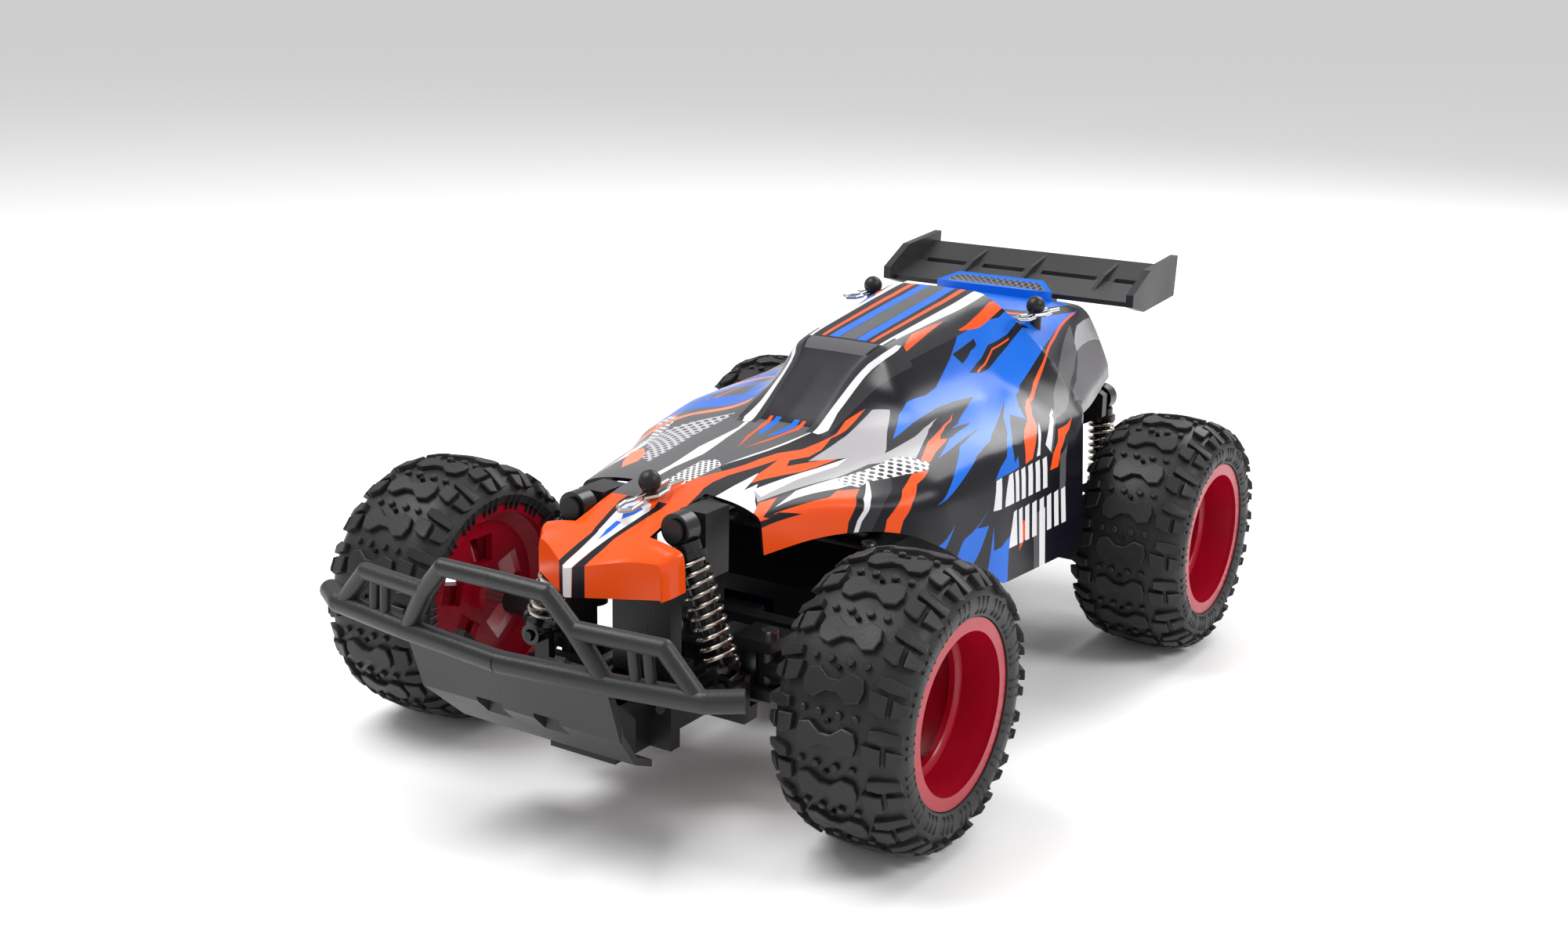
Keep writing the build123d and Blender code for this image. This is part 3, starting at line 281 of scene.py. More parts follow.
# what is printed on the shell, plus a painted highlight on the A-pillars, bottom layer first: paint, sides (1
# left, -1 right, 0 both), outline
graphics = [
    ("orange", 0, [(-136, 0), (-93, 0), (-93, 6), (-136, 6)]),
    ("grey", 0, [(-93, 0), (-27.6, 0), (-27.6, 0.98), (-93, 0.98)]),
    ("black", 0, [(-136, 0.17), (-118, 0.22), (-112, 0.28), (-104, 0.42), (-96, 0.5), (-92, 0.35), (-92, 0.7),
                  (-96, 0.74), (-104, 0.62), (-112, 0.47), (-118, 0.5), (-136, 0.5)]),
    ("white", 0, [(-136, 0), (-136, 0.15), (-120, 0.2), (-112, 0.28), (-104, 0.42), (-98, 0.5), (-95, 0.3),
                  (-94, 0)]),
    ("blue", 0, [(-114, 0), (-109, 0.1), (-105, 0.1), (-105, 0)]),
    ("blue", 0, [(-104, 0), (-101, 0.2), (-98, 0.26), (-96.5, 0)]),
    # hood and front wings
    ("black", 0, [(-66, 0.45), (-55, 0.6), (-40, 0.92), (-29, 1.03), (-27.6, 1.7), (-35, 1.6), (-48, 1.2),
                  (-60, 0.98),
                  (-68, 0.7)]),
    ("orange", 1, [(-93, 0.05), (-84, 0.1), (-80, 0.2), (-75, 0.42), (-70, 0.62), (-65, 0.85), (-60, 0.98),
                   (-55, 1.05),
                   (-48.5, 1.2), (-41.5, 1.55), (-35, 1.6), (-27.5, 1.6), (-21, 1.5), (-12.5, 1.6),
                   (-24.3, 1.7),
                   (-30.7, 1.65), (-39, 1.9), (-45, 1.95), (-51, 1.75), (-55, 1.95), (-47, 2.2),
                   (-37.5, 2.4), (-49, 2.42),
                   (-55.5, 2.4), (-66, 2.1), (-72, 1.98), (-66, 1.75), (-60, 1.65), (-52.5, 1.5), (-60, 1.35),
                   (-70, 1.05), (-76, 0.98), (-82, 1.05), (-93, 1.55)]),
    ("grey", -1, [(-93, 0), (-27.6, 0), (-27.6, 1.5), (0, 1.5), (20, 1.7), (10, 3.9), (-27.6, 3.9),
                  (-93, 4.3)]),
    ("holes", 0, [(-82, 0), (-82, 0.3), (-74.9, 0.36), (-64.2, 0.38), (-61.4, 0.08), (-60.5, 0)]),
    ("white", 1, [(-63, 0.42), (-55, 0.6), (-48, 0.78), (-40, 0.9), (-30, 1.0), (-29, 1.05), (-33, 1.03),
                  (-40, 1.0),
                  (-48, 0.88), (-56, 0.68)]),
    ("white", -1, [(-82, 0.97), (-70.5, 1.0), (-54.5, 1.2), (-44, 1.13), (-35.5, 1.08), (-28, 1.2),
                   (-21, 1.4),
                   (-27, 1.12), (-30, 1.06), (-37, 0.96), (-44.5, 0.88), (-59, 0.68), (-71.5, 0.8),
                   (-82, 0.75)]),
    ("white", 1, [(-84.5, 1.85), (-75, 1.75), (-63.5, 1.68), (-76, 2.22), (-70, 2.2), (-74.5, 2.5),
                  (-79.5, 3.05),
                  (-82.5, 3.5), (-86.5, 3.95), (-88, 3.6), (-88.5, 2.9), (-87, 2.3)]),
    ("lightGrey", 1, [(-48, 2.1), (-30, 1.85), (-11, 1.7), (-5, 1.9), (-16, 2.25), (-29, 2.7), (-13, 2.65),
                      (2, 2.5),
                      (-14, 2.85), (-24, 3.1), (-37, 2.85), (-50, 3.0), (-64, 3.05), (-79, 3.1), (-74, 2.38),
                      (-61, 2.42), (-49.5, 2.47), (-38.5, 2.48)]),
    ("white", 1, [(-76, 2.9), (-74, 2.38), (-61, 2.42), (-49.5, 2.47), (-38.5, 2.48), (-44, 2.62),
                  (-60, 2.66)]),
    ("white", 0, [(-76.5, 3.65), (-65.5, 3.15), (-50.5, 3.02), (-47, 3.3), (-54, 3.42), (-62, 3.45),
                  (-69, 3.5)]),
    ("holes", 0, [(-50.5, 3.03), (-40, 2.98), (-29, 2.88), (-25, 3.0), (-23, 3.2), (-21.5, 3.3),
                  (-24.5, 3.42),
                  (-32, 3.36), (-43, 3.32), (-47.5, 3.45), (-51, 3.3)]),
    ("orange", 0, [(-87.3, 4.3), (-78, 3.92), (-70.5, 3.88), (-59.5, 3.75), (-55, 3.5), (-48, 3.5),
                   (-51.5, 3.75),
                   (-53.5, 4.1), (-56.7, 4.65), (-58, 5.1), (-86, 5.1), (-86.5, 4.65)]),
    ("black", 0, [(-84, 4.05), (-77, 3.93), (-70, 4.2), (-79.5, 4.22), (-87.3, 4.28), (-87, 4.0),
                  (-82, 4.1)]),
    ("orange", 1, [(-79, 3.15), (-72.5, 3.2), (-79.5, 3.7), (-83, 3.93), (-81, 4.05), (-87, 4.05),
                   (-84.5, 3.6),
                   (-82, 3.4)]),
    # flank, front to back
    ("white", 0, [(-44, 3.35), (-42.5, 3.32), (-48.5, 3.95), (-50.5, 4.3), (-53, 4.65), (-55, 5.1),
                  (-56.3, 5.1),
                  (-54.2, 4.62), (-51.9, 4.28), (-50, 3.85)]),
    ("darkGrey", 0, [(-42.3, 3.34), (-36.5, 3.36), (-38.8, 3.6), (-45.2, 4.05), (-49, 4.65), (-51.5, 5.1),
                     (-55, 5.1),
                     (-53, 4.65), (-50.5, 4.3), (-48.5, 3.95)]),
    ("orange", 0, [(-30.3, 3.38), (-24.7, 3.43), (-32, 3.65), (-36.8, 4.05), (-40.5, 4.57), (-42.5, 5.1),
                   (-47.5, 5.1), (-45.5, 4.57), (-43, 4.3), (-37, 3.7)]),
    ("orange", 0, [(-23.5, 3.18), (-12.3, 2.88), (-4.8, 2.8), (10, 2.55), (-1, 2.78), (-8, 2.96), (-5, 3.02),
                   (-15, 3.16), (-21.3, 3.3)]),
    ("blue", 0, [(41, 1.32), (47, 1.3), (53.5, 1.35), (60.5, 1.6), (75, 1.7), (84, 1.9), (100, 1.92),
                 (112, 1.95),
                 (109, 2.0), (94, 2.2), (76, 2.5), (64, 2.62), (54.7, 2.62), (48.5, 2.62), (42.6, 2.78),
                 (36.5, 3.0),
                 (31, 3.38), (28, 3.12), (35, 2.75), (27.5, 2.38), (18, 2.3), (7, 2.28), (-4.5, 2.35),
                 (-19.5, 2.48),
                 (1, 1.93), (10, 1.97), (17, 1.92), (31, 1.6)]),
    ("blue", 0, [(27.5, 2.38), (35, 2.75), (15.6, 3.25), (-9.5, 3.8), (-30, 4.2), (-6.5, 3.33), (9, 3.1),
                 (-4, 3.22),
                 (-17.5, 3.32), (-5, 3.05), (9.2, 2.92), (0.3, 2.87), (13, 2.65)]),
    ("black", 0, [(33.5, 1.55), (47, 1.5), (47, 1.6), (36, 1.75)]),
    ("blue", 0, [(35, 2.75), (30, 2.92), (24, 3.12), (16, 3.52), (6.5, 3.85), (-2.7, 4.14), (10.5, 4.12),
                 (11.5, 4.0),
                 (8, 4.06), (10.7, 3.84), (13.8, 3.72), (23.3, 3.3), (28, 3.12)]),
    ("black", 0, [(36, 1.93), (51, 1.75), (59, 1.92), (65, 1.95), (67.5, 2.12), (58, 2.05), (51.5, 2.02),
                  (42, 2.02)]),
    ("orange", 0, [(40, 1.97), (51.5, 1.84), (58.5, 1.98), (58, 2.0), (51.5, 1.87), (41, 2.0)]),
    ("orange", 0, [(107, 1.97), (96, 2.15), (79, 2.48), (70, 2.62), (61.5, 2.74), (52.8, 2.8), (45.5, 2.93),
                   (38, 3.1), (31, 3.42), (24, 3.62), (18.8, 3.82), (14.7, 4.12), (19.5, 4.1), (25, 3.9),
                   (31, 3.65),
                   (36.8, 3.3), (44, 3.05), (50, 2.92), (58, 2.84), (68, 2.7), (80, 2.53), (97, 2.2),
                   (109, 2.02)]),
    ("haunch", 0, [(90, 3.02), (98, 2.95), (106, 2.95), (112, 3.05), (120, 3.3), (120, 5.1), (70, 5.1),
                   (66, 4.3),
                   (70, 4.02), (60, 3.72), (75.5, 3.55), (85, 3.25)]),
    ("lightGrey", 0, [(87, 3.0), (92, 2.8), (97, 2.6), (103, 2.42), (110, 2.36), (117, 2.4), (120, 2.6),
                      (120, 3.3),
                      (112, 3.05), (106, 2.95), (98, 2.95), (90, 3.02)]),
    ("grey", 0, [(98, 2.32), (85, 2.65), (72, 2.97), (64.5, 3.1), (54.5, 3.25), (46, 3.5), (38, 3.75),
                 (29.5, 4.02),
                 (31.5, 4.15), (40, 3.8), (45, 3.68), (51, 3.68), (57, 3.6), (67, 3.5), (78, 3.35),
                 (89.5, 3.02)]),
    ("white", 0, [(47, 3.42), (42, 3.6), (36, 3.78), (29, 4.02), (31, 4.12), (38, 3.82), (44, 3.62)]),
    ("white", 0, [(33.5, 3.6), (28, 3.82), (24.5, 4.0), (22, 4.1), (24.3, 4.1), (26, 4.0), (29, 3.86)]),
    ("orange", 0, [(49.7, 3.9), (39.6, 3.9), (36.7, 4.05), (32.3, 4.15), (29, 4.28), (34.2, 4.28),
                   (37.3, 4.15),
                   (43.3, 4.03)]),
    ("grey", 0, [(43.5, 4.12), (36.2, 4.2), (34, 4.45), (33, 4.73), (38.3, 4.42), (40, 4.25)]),
    ("blue", 0, [(-31.5, 5.1), (-23.3, 4.55), (-29, 5.1)]),
    ("blue", 0, [(-24, 5.1), (-20.5, 4.78), (-19, 4.7), (-6.4, 4.35), (-13.5, 4.56), (-7.5, 4.52),
                 (-10, 4.63),
                 (-18.5, 5.1)]),
    ("blue", 0, [(-11.7, 5.1), (-7, 4.7), (-4.5, 4.53), (-5.8, 4.75), (1.7, 4.64), (-1.8, 5.1)]),
    ("orange", 0, [(5, 4.8), (10, 4.57), (12.5, 4.6), (10.2, 4.72)]),
    ("grey", 0, [(16.6, 4.57), (20.3, 4.56), (17.2, 5.1), (14, 5.1)]),
    ("white", 0, [(20.3, 4.56), (24, 4.55), (20.5, 5.1), (17.2, 5.1)]),
    # roof, windscreen and pillars
    ("darkGrey", 0, [(5, 0.95), (62, 0.95), (62, 1.35), (5, 1.35)]),
    ("grey", 0, [(5, 0), (64, 0), (64, 0.18), (5, 0.18)]),
    ("blue", 0, [(5, 0.2), (64, 0.18), (64, 0.38), (5, 0.42)]),
    ("orange", 0, [(5, 0.52), (64, 0.5), (64, 0.62), (5, 0.6)]),
    ("white", 0, [(3, 0.78), (64, 0.8), (64, 1.05), (3, 0.88)]),
    ("orange", 0, [(19, 0.97), (28, 1.0), (36.5, 1.05), (28, 1.1), (8.5, 1.23), (12, 1.12)]),
    ("orange", 0, [(42.3, 1.28), (57, 1.26), (62, 1.25), (70, 1.45), (76, 1.66), (66, 1.55), (57.5, 1.48),
                   (52, 1.45)]),
    ("blue", 0, [(66, 0), (112, 0), (112, 1.5), (78, 1.5), (66, 1.1)]),
    ("grey", 0, [(-1, 0), (3, 0), (3, 0.78), (-1, 0.78)]),
    ("blue", 0, [(-25.5, 0.22), (-25.5, 0.4), (-31, 0.42), (-36, 0.3), (-38.5, 0.12), (-30, 0.2)]),
    ("orange", 0, [(-25.5, 0.5), (-25.5, 0.6), (-30, 0.62), (-35, 0.5), (-40, 0.42), (-50, 0.1), (-36, 0.4)]),
    ("darkGrey", 0, [(-30, 0.85), (12, 0.85), (12, 1.45), (-30, 1.45)]),
    # painted highlight: this white band on both A-pillars stands for the glint along each pillar's rounded edge
    ("white", 0, [(-29.5, 1.05), (-20, 1.02), (-10, 1.02), (0, 1.03), (9, 1.02), (11, 1.08), (8, 1.12),
                  (0, 1.15),
                  (-10, 1.18), (-20, 1.22), (-27, 1.35), (-30, 1.25)]),
    # right front wing
    ("greyHoles", -1, [(-51.5, 3), (-39, 3), (-32.4, 2.35), (-25, 1.7), (-34.5, 1.8), (-44.5, 1.95),
                       (-59.5, 1.93),
                       (-70, 1.95), (-66, 2.5), (-59, 2.6), (-57, 2.8)]),
    ("salmon", -1, [(-60, 3.25), (-57, 2.9), (-63, 2.5), (-70, 2.35), (-76, 2.6), (-70, 2.95)]),
    ("salmon", -1, [(-37.7, 3.8), (-31.7, 3), (-26.5, 2.55), (-21.7, 2), (-18.2, 1.65), (-15, 1.65),
                    (-18.3, 2),
                    (-23, 2.55), (-28.3, 3), (-34.3, 3.8)]),
    ("blue", -1, [(-26, 3.7), (-20, 3.1), (-18.5, 2.5), (-17, 2), (-15, 1.6), (-2, 1.6), (-3, 2),
                  (-5, 2.6), (-7, 3.1),
                  (-12, 3.6), (-20, 3.9)]),
    ("blue", -1, [(0, 3.7), (2, 3), (5, 2.2), (6, 1.7), (10, 1.7), (9, 2.2), (7, 3), (5, 3.7)]),
    ("salmon", -1, [(13, 3.6), (15, 3), (17, 2.3), (19, 2.3), (18, 3), (16.5, 3.6)]),
]
bars = {"rows": [(-4, 28, 4.15, 4.4),
                 (1, 36, 4.47, 4.74)], "lean": 1.6, "wide": 2.8, "pitch": 4.6}   # slanted
for start, stop, top, foot in bars["rows"]:
    place = start
    while place < stop:
        graphics.append(("white", 0, [(place, foot), (place + bars["lean"], top),
                                      (place + bars["lean"] + bars["wide"], top - 0.01),
                                      (place + bars["wide"], foot)]))
        place += bars["pitch"]
cutOuts = [   # where the shell is open: beside the shock towers
    (0, [(-107.7, 1.87), (-84.5, 1.4), (-84.5, 6), (-107.7, 6)]),
]
stretch = 15   # sheet mm for each step around
shellLook = {"along": 126, "around": 92, "steps": 5, "wall": 1.0, "crease": 28, "merge": 2e-6,
             "cutSlack": 0.004}


def inside(outline, x, y):
    hit = False
    for (x1, y1), (x2, y2) in zip(outline, outline[1:] + outline[:1]):
        if (y1 > y) != (y2 > y) and x < (x2 - x1) * (y - y1) / (y2 - y1) + x1:
            hit = not hit
    return hit


def sheetFaces(faces, outline, slack=0.01):
    xs, ys = [p[0] for p in outline], [p[1] for p in outline]
    found = []
    for f in faces:
        if not f.is_valid:
            continue
        across = [v.co.x for v in f.verts]
        up = [v.co.y for v in f.verts]
        if (max(across) > min(xs) - slack and min(across) < max(xs) + slack
                and max(up) > min(ys) - slack and min(up) < max(ys) + slack):
            found.append(f)
    return found


def cutOutline(bm, outline):
    near = sheetFaces(bm.faces, outline)
    for a, b in zip(outline, outline[1:] + outline[:1]):
        run = Vector((b[0] - a[0], b[1] - a[1], 0))
        if run.length < 1e-6:
            continue
        touched = sheetFaces(near, [a, b])
        parts = touched + list({e for f in touched for e in f.edges}) + list({v for f in touched for v in f.verts})
        cut = bmesh.ops.bisect_plane(bm, geom=parts, dist=shellLook["cutSlack"], plane_co=(a[0], a[1], 0),
                                     plane_no=(run.y, -run.x, 0))
        kept = {f for f in near if f.is_valid}
        kept.update(g for g in cut["geom"] if isinstance(g, bmesh.types.BMFace) and g.is_valid)
        near = list(kept)


def layers(listed):
    for entry in listed:
        for side in ((1, -1) if entry[-2] == 0 else (entry[-2],)):
            yield entry[0], [(p[0], side * p[1] * stretch) for p in entry[-1]]


def makeShell():
    first, last = shellRows[0][0], shellRows[-1][0]
    bm = bmesh.new()
    bmesh.ops.create_grid(bm, x_segments=shellLook["along"], y_segments=shellLook["around"], size=0.5)
    for v in bm.verts:
        v.co.x = first + (v.co.x + 0.5) * (last - first)
        v.co.y = v.co.y * 2 * shellLook["steps"] * stretch
    for paint, outline in list(layers(graphics)) + list(layers(cutOuts)):
        cutOutline(bm, outline)
    print("shell sheet cut:", len(bm.faces), "faces")
    for paint, outline in layers(graphics):
        for f in sheetFaces(bm.faces, outline):
            middle = f.calc_center_median()
            if inside(outline, middle.x, middle.y):
                f.material_index = paintOrder.index(paint)
    opened = []
    for paint, outline in layers(cutOuts):
        opened += [f for f in bm.faces if inside(outline, f.calc_center_median().x, f.calc_center_median().y)]
    bmesh.ops.delete(bm, geom=list(set(opened)), context="FACES")
    sheetMap = bm.loops.layers.uv.new("sheet")
    for f in bm.faces:
        for corner in f.loops:
            corner[sheetMap].uv = corner.vert.co.xy
    for v in bm.verts:
        v.co = shellPoint(v.co.x, v.co.y / stretch)
    bmesh.ops.remove_doubles(bm, verts=bm.verts, dist=shellLook["merge"])
    bmesh.ops.recalc_face_normals(bm, faces=bm.faces)
    if sum(f.normal.z * f.calc_area() for f in bm.faces) < 0:
        bmesh.ops.reverse_faces(bm, faces=bm.faces)
    outer = set(bm.faces)
    bmesh.ops.solidify(bm, geom=list(bm.faces), thickness=shellLook["wall"] * mm)
    for f in bm.faces:
        if f not in outer:
            f.material_index = 0
    finishPiece(bm, "printed_shell", "chassis", [shellPaints[p] for p in paintOrder],
                ["body_shell"], smoothAngle=shellLook["crease"], turnOut=False)


makeShell()
print("shell made")

scoopLook = {"foot": 103.5, "rim": 2.2}
scoopRim = [(12.9, 99.7, 107.5), (21.7, 104.0, 106.9), (15.9, 109.6, 109.5)]   # left half of its top edge


def makeScoop():
    bm = bmesh.new()
    ring = scoopRim + [(-x, y, z) for x, y, z in scoopRim[::-1]]
    lid = bm.faces.new([bm.verts.new(Vector((x, y + midShift, z)) * mm) for x, y, z in ring])
    grown = bmesh.ops.extrude_face_region(bm, geom=[lid])
    for g in grown["geom"]:
        if isinstance(g, bmesh.types.BMVert):
            g.co.z = scoopLook["foot"] * mm
    bm.faces.ensure_lookup_table()
    bmesh.ops.recalc_face_normals(bm, faces=bm.faces)
    roof = [f for f in bm.faces if f.calc_center_median().z > 106 * mm and f.normal.z > 0.7]
    bmesh.ops.inset_region(bm, faces=roof, thickness=scoopLook["rim"] * mm, depth=-0.3 * mm)
    for f in roof:
        f.material_index = 1
    sheetMap = bm.loops.layers.uv.new("sheet")
    for f in bm.faces:
        for corner in f.loops:
            corner[sheetMap].uv = corner.vert.co.xy * 1000
    finishPiece(bm, "roof_scoop", "chassis", [shellPaints["blue"], shellPaints["diamonds"]],
                smoothAngle=30)


makeScoop()
print("scoop made")

tyreLook = {
    "radius": 37.5, "middle": 73.5, "repeats": 18, "sink": 0.7, "soften": 0.28,
    "outer": [(0, 35.9), (5, 35.75), (10, 35.1), (13.6, 34.0), (16.3, 32.0), (17.7, 29.2), (17.8, 26.8),
              (16.9, 24.4)],
    "inner": [(0, 35.9), (-5, 35.75), (-10, 35.1), (-13.6, 34.0), (-16.3, 32.0), (-17.6, 29.4),
              (-17.0, 27.2)],
    "steps": 96, "firstRepeat": 0.3, "studHigh": 1.3, "studSides": 8, "barHigh": 0.6, "crease": 38,
    "offset": 3.3,   # how far the inner shoulder's lugs are turned against the outer ones
    "lining": [(15.9, 24.25), (14, 28), (0, 32), (-14, 30), (-16, 27.05)],
}
# one repeat of the tread: height, then outlines as (across the tread, around it) in mm on the tyre's skin
treadBlocks = [
    (1.6, [(-7.2, -2.9), (-4.4, -3.7), (-1.4, -1.5), (1.4, -1.5), (4.4, -3.7), (7.2, -2.9), (8.0, 0),
           (7.2, 2.9),
           (4.4, 3.7), (1.4, 1.5), (-1.4, 1.5), (-4.4, 3.7), (-7.2, 2.9), (-8.0, 0)]),
    (1.8, [(9.6, -3.6), (12.6, -4.9), (13.6, -4.7), (13.6, 0.2), (9.2, 0.8)]),
    (1.8, [(14.5, -4.6), (17.6, -4.2), (18.6, -1.4), (14.5, -0.1)]),
    (1.7, [(10.4, 2.2), (13.4, 1.4), (17.9, 1.0), (17.6, 3.9), (13.4, 4.9), (10.6, 4.6)]),
]
treadStuds = [(2.6, 6.2, 1.05), (6.9, 6.2, 0.95), (0.0, 4.4, 0.7)]   # across, around, radius
wallBars = [(20.0, 24.6, -3.4), (20.0, 24.6, -0.2), (20.0, 24.6, 3.0)]   # from, to, around


def alongSkin(profile, across):
    # the point on the tyre's section that far from its middle, and the way out of it
    walked = 0
    for a, b in zip(profile, profile[1:]):
        step = math.dist(a, b)
        if walked + step >= across or b == profile[-1]:
            share = (across - walked) / step
            point = (a[0] + (b[0] - a[0]) * share, a[1] + (b[1] - a[1]) * share)
            return point, ((a[1] - b[1]) / step * (1 if profile[1][0] > 0 else -1), abs(b[0] - a[0]) / step)
        walked += step


def makeTyre(end, sideName, side, axisY):
    centre = Vector((side * tyreLook["middle"], axisY, tyreLook["radius"])) * mm
    bm = bmesh.new()
    ring = tyreLook["outer"][::-1] + tyreLook["inner"][1:] + tyreLook["lining"][::-1]
    verts = [bm.verts.new(centre + Vector((side * x, 0, r)) * mm) for x, r in ring]
    edges = [bm.edges.new(pair) for pair in zip(verts, verts[1:] + verts[:1])]
    bmesh.ops.spin(bm, geom=verts + edges, cent=centre, axis=(1, 0, 0), angle=math.tau,
                   steps=tyreLook["steps"], use_merge=True)
    bmesh.ops.remove_doubles(bm, verts=bm.verts, dist=1e-6)
    shapes = []
    for high, outline in treadBlocks:
        shapes.append((high, outline))
        if outline[0][0] > 0:
            shapes.append((high, [(-a, b + tyreLook["offset"]) for a, b in outline]))
    for a, b, r in treadStuds:
        for flip in (1, -1):
            shapes.append((tyreLook["studHigh"], [
                (flip * a + r * math.cos(t * math.tau / tyreLook["studSides"]),
                 b + r * math.sin(t * math.tau / tyreLook["studSides"])) for t in range(tyreLook["studSides"])]))
    for a, b, around in wallBars:
        for flip in (1, -1):
            shapes.append((tyreLook["barHigh"], [(flip * a, around - 0.55), (flip * b, around - 0.45),
                                                 (flip * b, around + 0.45),
                                 (flip * a, around + 0.55)]))
    block = bmesh.new()
    for high, outline in shapes:
        foot, top = [], []
        for across, around in outline:
            profile = tyreLook["outer"] if across >= 0 else tyreLook["inner"]
            (x, r), (outX, outR) = alongSkin(profile, abs(across))
            turn = around / tyreLook["radius"]
            for ends, height in ((foot, -tyreLook["sink"]), (top, high)):
                radius = min(r + outR * height, tyreLook["radius"])
                ends.append(block.verts.new(centre + Vector((
                    side * (x + outX * height), radius * math.sin(turn), radius * math.cos(turn))) * mm))
        lid = block.faces.new(top)
        walls = [block.faces.new((foot[i - 1], foot[i], top[i], top[i - 1])) for i in range(len(foot))]
        bmesh.ops.recalc_face_normals(block, faces=[lid] + walls)
        if lid.normal.dot(lid.calc_center_median() - centre) < 0:
            bmesh.ops.reverse_faces(block, faces=[lid] + walls)
        bmesh.ops.bevel(block, geom=list(lid.edges) + list(lid.verts), offset=tyreLook["soften"] * mm,
                        segments=1,
                        profile=0.5, affect="EDGES", material=-1)
    one = bpy.data.meshes.new("tread")
    block.to_mesh(one)
    block.free()
    for i in range(tyreLook["repeats"]):
        start = len(bm.verts)
        bm.from_mesh(one)
        bm.verts.ensure_lookup_table()
        turn = Matrix.Rotation(math.tau * (i + tyreLook["firstRepeat"]) / tyreLook["repeats"], 3, "X")
        bmesh.ops.rotate(bm, verts=bm.verts[start:], cent=centre, matrix=turn)
    bpy.data.meshes.remove(one)
    finishPiece(bm, "%s_treaded_tyre_%s" % (end, sideName), "%s_wheel_%s" % (end, sideName),
                [made["tyreRubber"]], ["%s_tyre_%s" % (end, sideName)],
                smoothAngle=tyreLook["crease"])


for end, axisY in axles:
    for sideName, side in sides:
        makeTyre(end, sideName, side, axisY)
print("tyres made")

rimLook = {
    "spokes": 5, "hub": 5.5, "reach": 20.4, "hubDepth": -6.0, "outerDepth": 2.2, "thick": 3.4,
    "narrow": 4.6, "wide": 8.0, "soften": 0.9, "turn": 0.3,
}


def makeSpokes(end, sideName, side, axisY):
    centre = Vector((side * tyreLook["middle"], axisY, tyreLook["radius"])) * mm
    bm = bmesh.new()
    for i in range(rimLook["spokes"]):
        spoke = bmesh.ops.create_cube(bm, size=1)["verts"]
        for v in spoke:
            outward = v.co.z > 0
            width = rimLook["wide"] if outward else rimLook["narrow"]
            depth = rimLook["outerDepth"] if outward else rimLook["hubDepth"]
            v.co = Vector((side * (depth + v.co.x * rimLook["thick"]), v.co.y * width,
                           rimLook["reach"] if outward else rimLook["hub"] - 2)) * mm
        edges = list({e for v in spoke for e in v.link_edges})
        bmesh.ops.bevel(bm, geom=edges, offset=rimLook["soften"] * mm, segments=2, profile=0.5,
                        affect="EDGES",
                        material=-1)
        spoke = [v for v in bm.verts if v.tag is False]
        bmesh.ops.rotate(bm, verts=spoke, cent=(0, 0, 0),
                         matrix=Matrix.Rotation(math.tau * (i + rimLook["turn"]) / rimLook["spokes"], 3, "X"))
        for v in spoke:
            v.tag = True
    section = [(15.9, 20.75), (15.9, 21.4), (12, 21.2), (3.6, 21.0), (3.6, 18.2), (5.2, 18.2), (5.9, 18.8),
               (6.3, 19.9),
               (12, 20.3)]
    verts = [bm.verts.new(Vector((side * x, 0, r)) * mm) for x, r in section]
    edges = [bm.edges.new(pair) for pair in zip(verts, verts[1:] + verts[:1])]
    bmesh.ops.spin(bm, geom=verts + edges, cent=(0, 0, 0), axis=(1, 0, 0), angle=math.tau, steps=72,
                   use_merge=True)
    bmesh.ops.translate(bm, verts=bm.verts, vec=centre)
    finishPiece(bm, "%s_rim_spokes_%s" % (end, sideName), "%s_wheel_%s" % (end, sideName),
                [made["rimRed"]],
                smoothAngle=40)


for end, axisY in axles:
    for sideName, side in sides:
        makeSpokes(end, sideName, side, axisY)
print("spokes made")

coils = {
    "front": {"top": (16.4, 74.8), "foot": (31.5, 36.5), "offset": -14.3, "from": 8.0, "to": 36.3,
              "turns": 10},
    "rear": {"top": (38, 71.5), "foot": (40, 38.5), "offset": 27.0, "from": 8.0, "to": 28.2, "turns": 8},
}
coilRadius, coilWire = 4.1, 0.58   # mm
coilSides, coilSteps = 10, 28      # round the wire, and steps in one turn


def makeSpring(end, sideName, side, axisY):
    look = coils[end]
    top = Vector((side * look["top"][0], axisY + look["offset"], look["top"][1]))
    foot = Vector((side * look["foot"][0], axisY + look["offset"], look["foot"][1]))
    down = (foot - top).normalized()
    start = top + down * (look["from"] + coilWire)
    finish = top + down * (look["to"] - coilWire)
    toSide = down.cross(Vector((0, 1, 0))).normalized()
    bm = bmesh.new()
    lie = Matrix.Translation((start + toSide * coilRadius) * mm) @ Matrix(
        (toSide, -down, toSide.cross(-down))).transposed().to_4x4()
    circle = bmesh.ops.create_circle(bm, cap_ends=False, radius=coilWire * mm, segments=coilSides,
                                      matrix=lie)
    steps = look["turns"] * coilSteps
    bmesh.ops.spin(bm, geom=circle["verts"] + list(bm.edges), cent=start * mm, axis=down,
                   angle=math.tau * look["turns"],
                   dvec=(finish - start) * mm / steps, steps=steps, use_merge=False)
    bmesh.ops.holes_fill(bm, edges=[e for e in bm.edges if e.is_boundary])
    spring = finishPiece(bm, "%s_coil_%s" % (end, sideName), None, [made["springSteel"]],
                         ["%s_spring_%s" % (end, sideName)])
    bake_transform(spring)


for end, axisY in axles:
    for sideName, side in sides:
        makeSpring(end, sideName, side, axisY)
print("springs made")

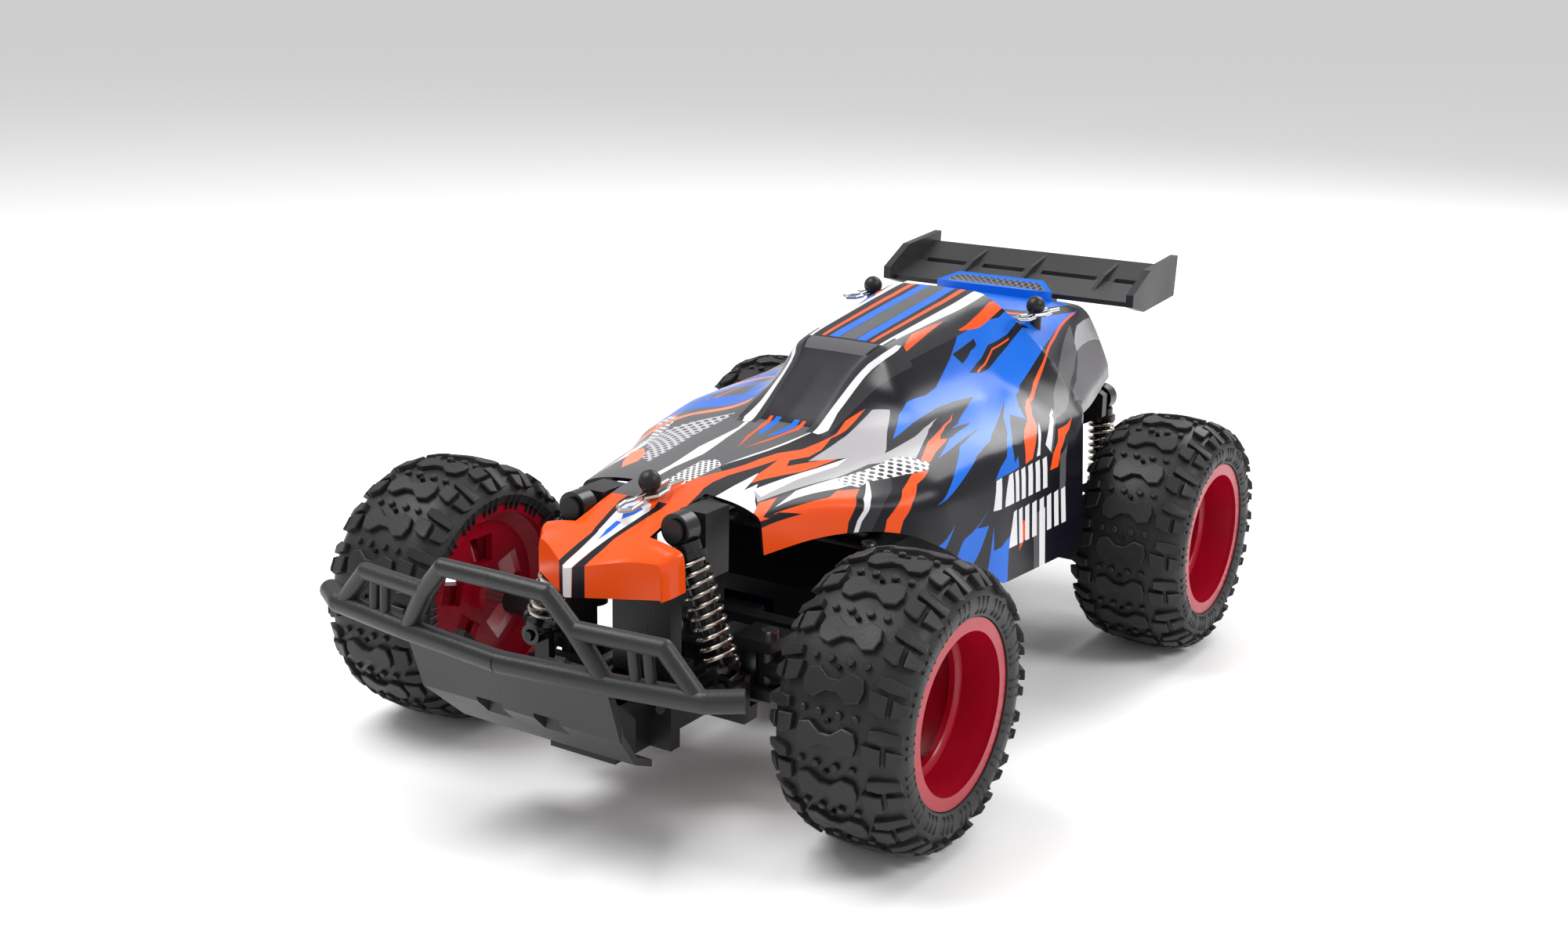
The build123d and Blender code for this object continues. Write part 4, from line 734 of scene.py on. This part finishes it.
# floor, light and camera
studio = {
    "floorSize": 6, "floorRough": 0.6, "sky": 0.62,
    "lamps": [("keyLight", (-0.5, -0.3, 1.1), 0.7, 11), ("sideLight", (1.0, 0.1, 0.9), 0.4, 6),
              ("backLight", (0.1, 1.0, 0.9), 0.7, 7)],   # place in metres, size, power
    "aim": (0, 0, 0.05),
}
view = {"place": (0.275841, -0.459732, 0.213928), "yaw": 0.565, "pitch": 0.271, "roll": 0.020, "lens": 42.5,
        "sensor": 36}
floorMesh = bpy.data.meshes.new("floor")
floorShape = bmesh.new()
bmesh.ops.create_grid(floorShape, x_segments=1, y_segments=1, size=studio["floorSize"])
floorShape.to_mesh(floorMesh)
floorShape.free()
floor = bpy.data.objects.new("floor", floorMesh)
bpy.context.scene.collection.objects.link(floor)
floorMaterial, _, _, floorShader = newMaterial("paleFloor")
floorShader.inputs["Base Color"].default_value = (1, 1, 1, 1)
floorShader.inputs["Roughness"].default_value = studio["floorRough"]
floorMesh.materials.append(floorMaterial)

world = bpy.data.worlds.new("studio")
bpy.context.scene.world = world
world.use_nodes = True
world.node_tree.nodes["Background"].inputs["Color"].default_value = (1, 1, 1, 1)
world.node_tree.nodes["Background"].inputs["Strength"].default_value = studio["sky"]
for name, place, size, power in studio["lamps"]:
    lamp = bpy.data.lights.new(name, "AREA")
    lamp.shape = "SQUARE"
    lamp.size = size
    lamp.energy = power
    lampObject = bpy.data.objects.new(name, lamp)
    lampObject.location = place
    lampObject.rotation_euler = (Vector(studio["aim"]) - Vector(place)).to_track_quat("-Z", "Y").to_euler()
    bpy.context.scene.collection.objects.link(lampObject)

bpy.context.scene.view_settings.view_transform = "Standard"

yaw, pitch, roll = view["yaw"], view["pitch"], view["roll"]
back = Vector((math.sin(yaw) * math.cos(pitch), -math.cos(yaw) * math.cos(pitch), math.sin(pitch)))
right = (-back).cross(Vector((0, 0, 1))).normalized()
up = right.cross(-back)
turnedRight = right * math.cos(roll) + up * math.sin(roll)
turnedUp = up * math.cos(roll) - right * math.sin(roll)
cameraData = bpy.data.cameras.new("camera")
cameraData.sensor_width = view["sensor"]
cameraData.lens = view["lens"]
camera = bpy.data.objects.new("camera", cameraData)
camera.matrix_world = Matrix.Translation(view["place"]) @ Matrix(
    (turnedRight, turnedUp, back)).transposed().to_4x4()
bpy.context.scene.collection.objects.link(camera)
bpy.context.scene.camera = camera
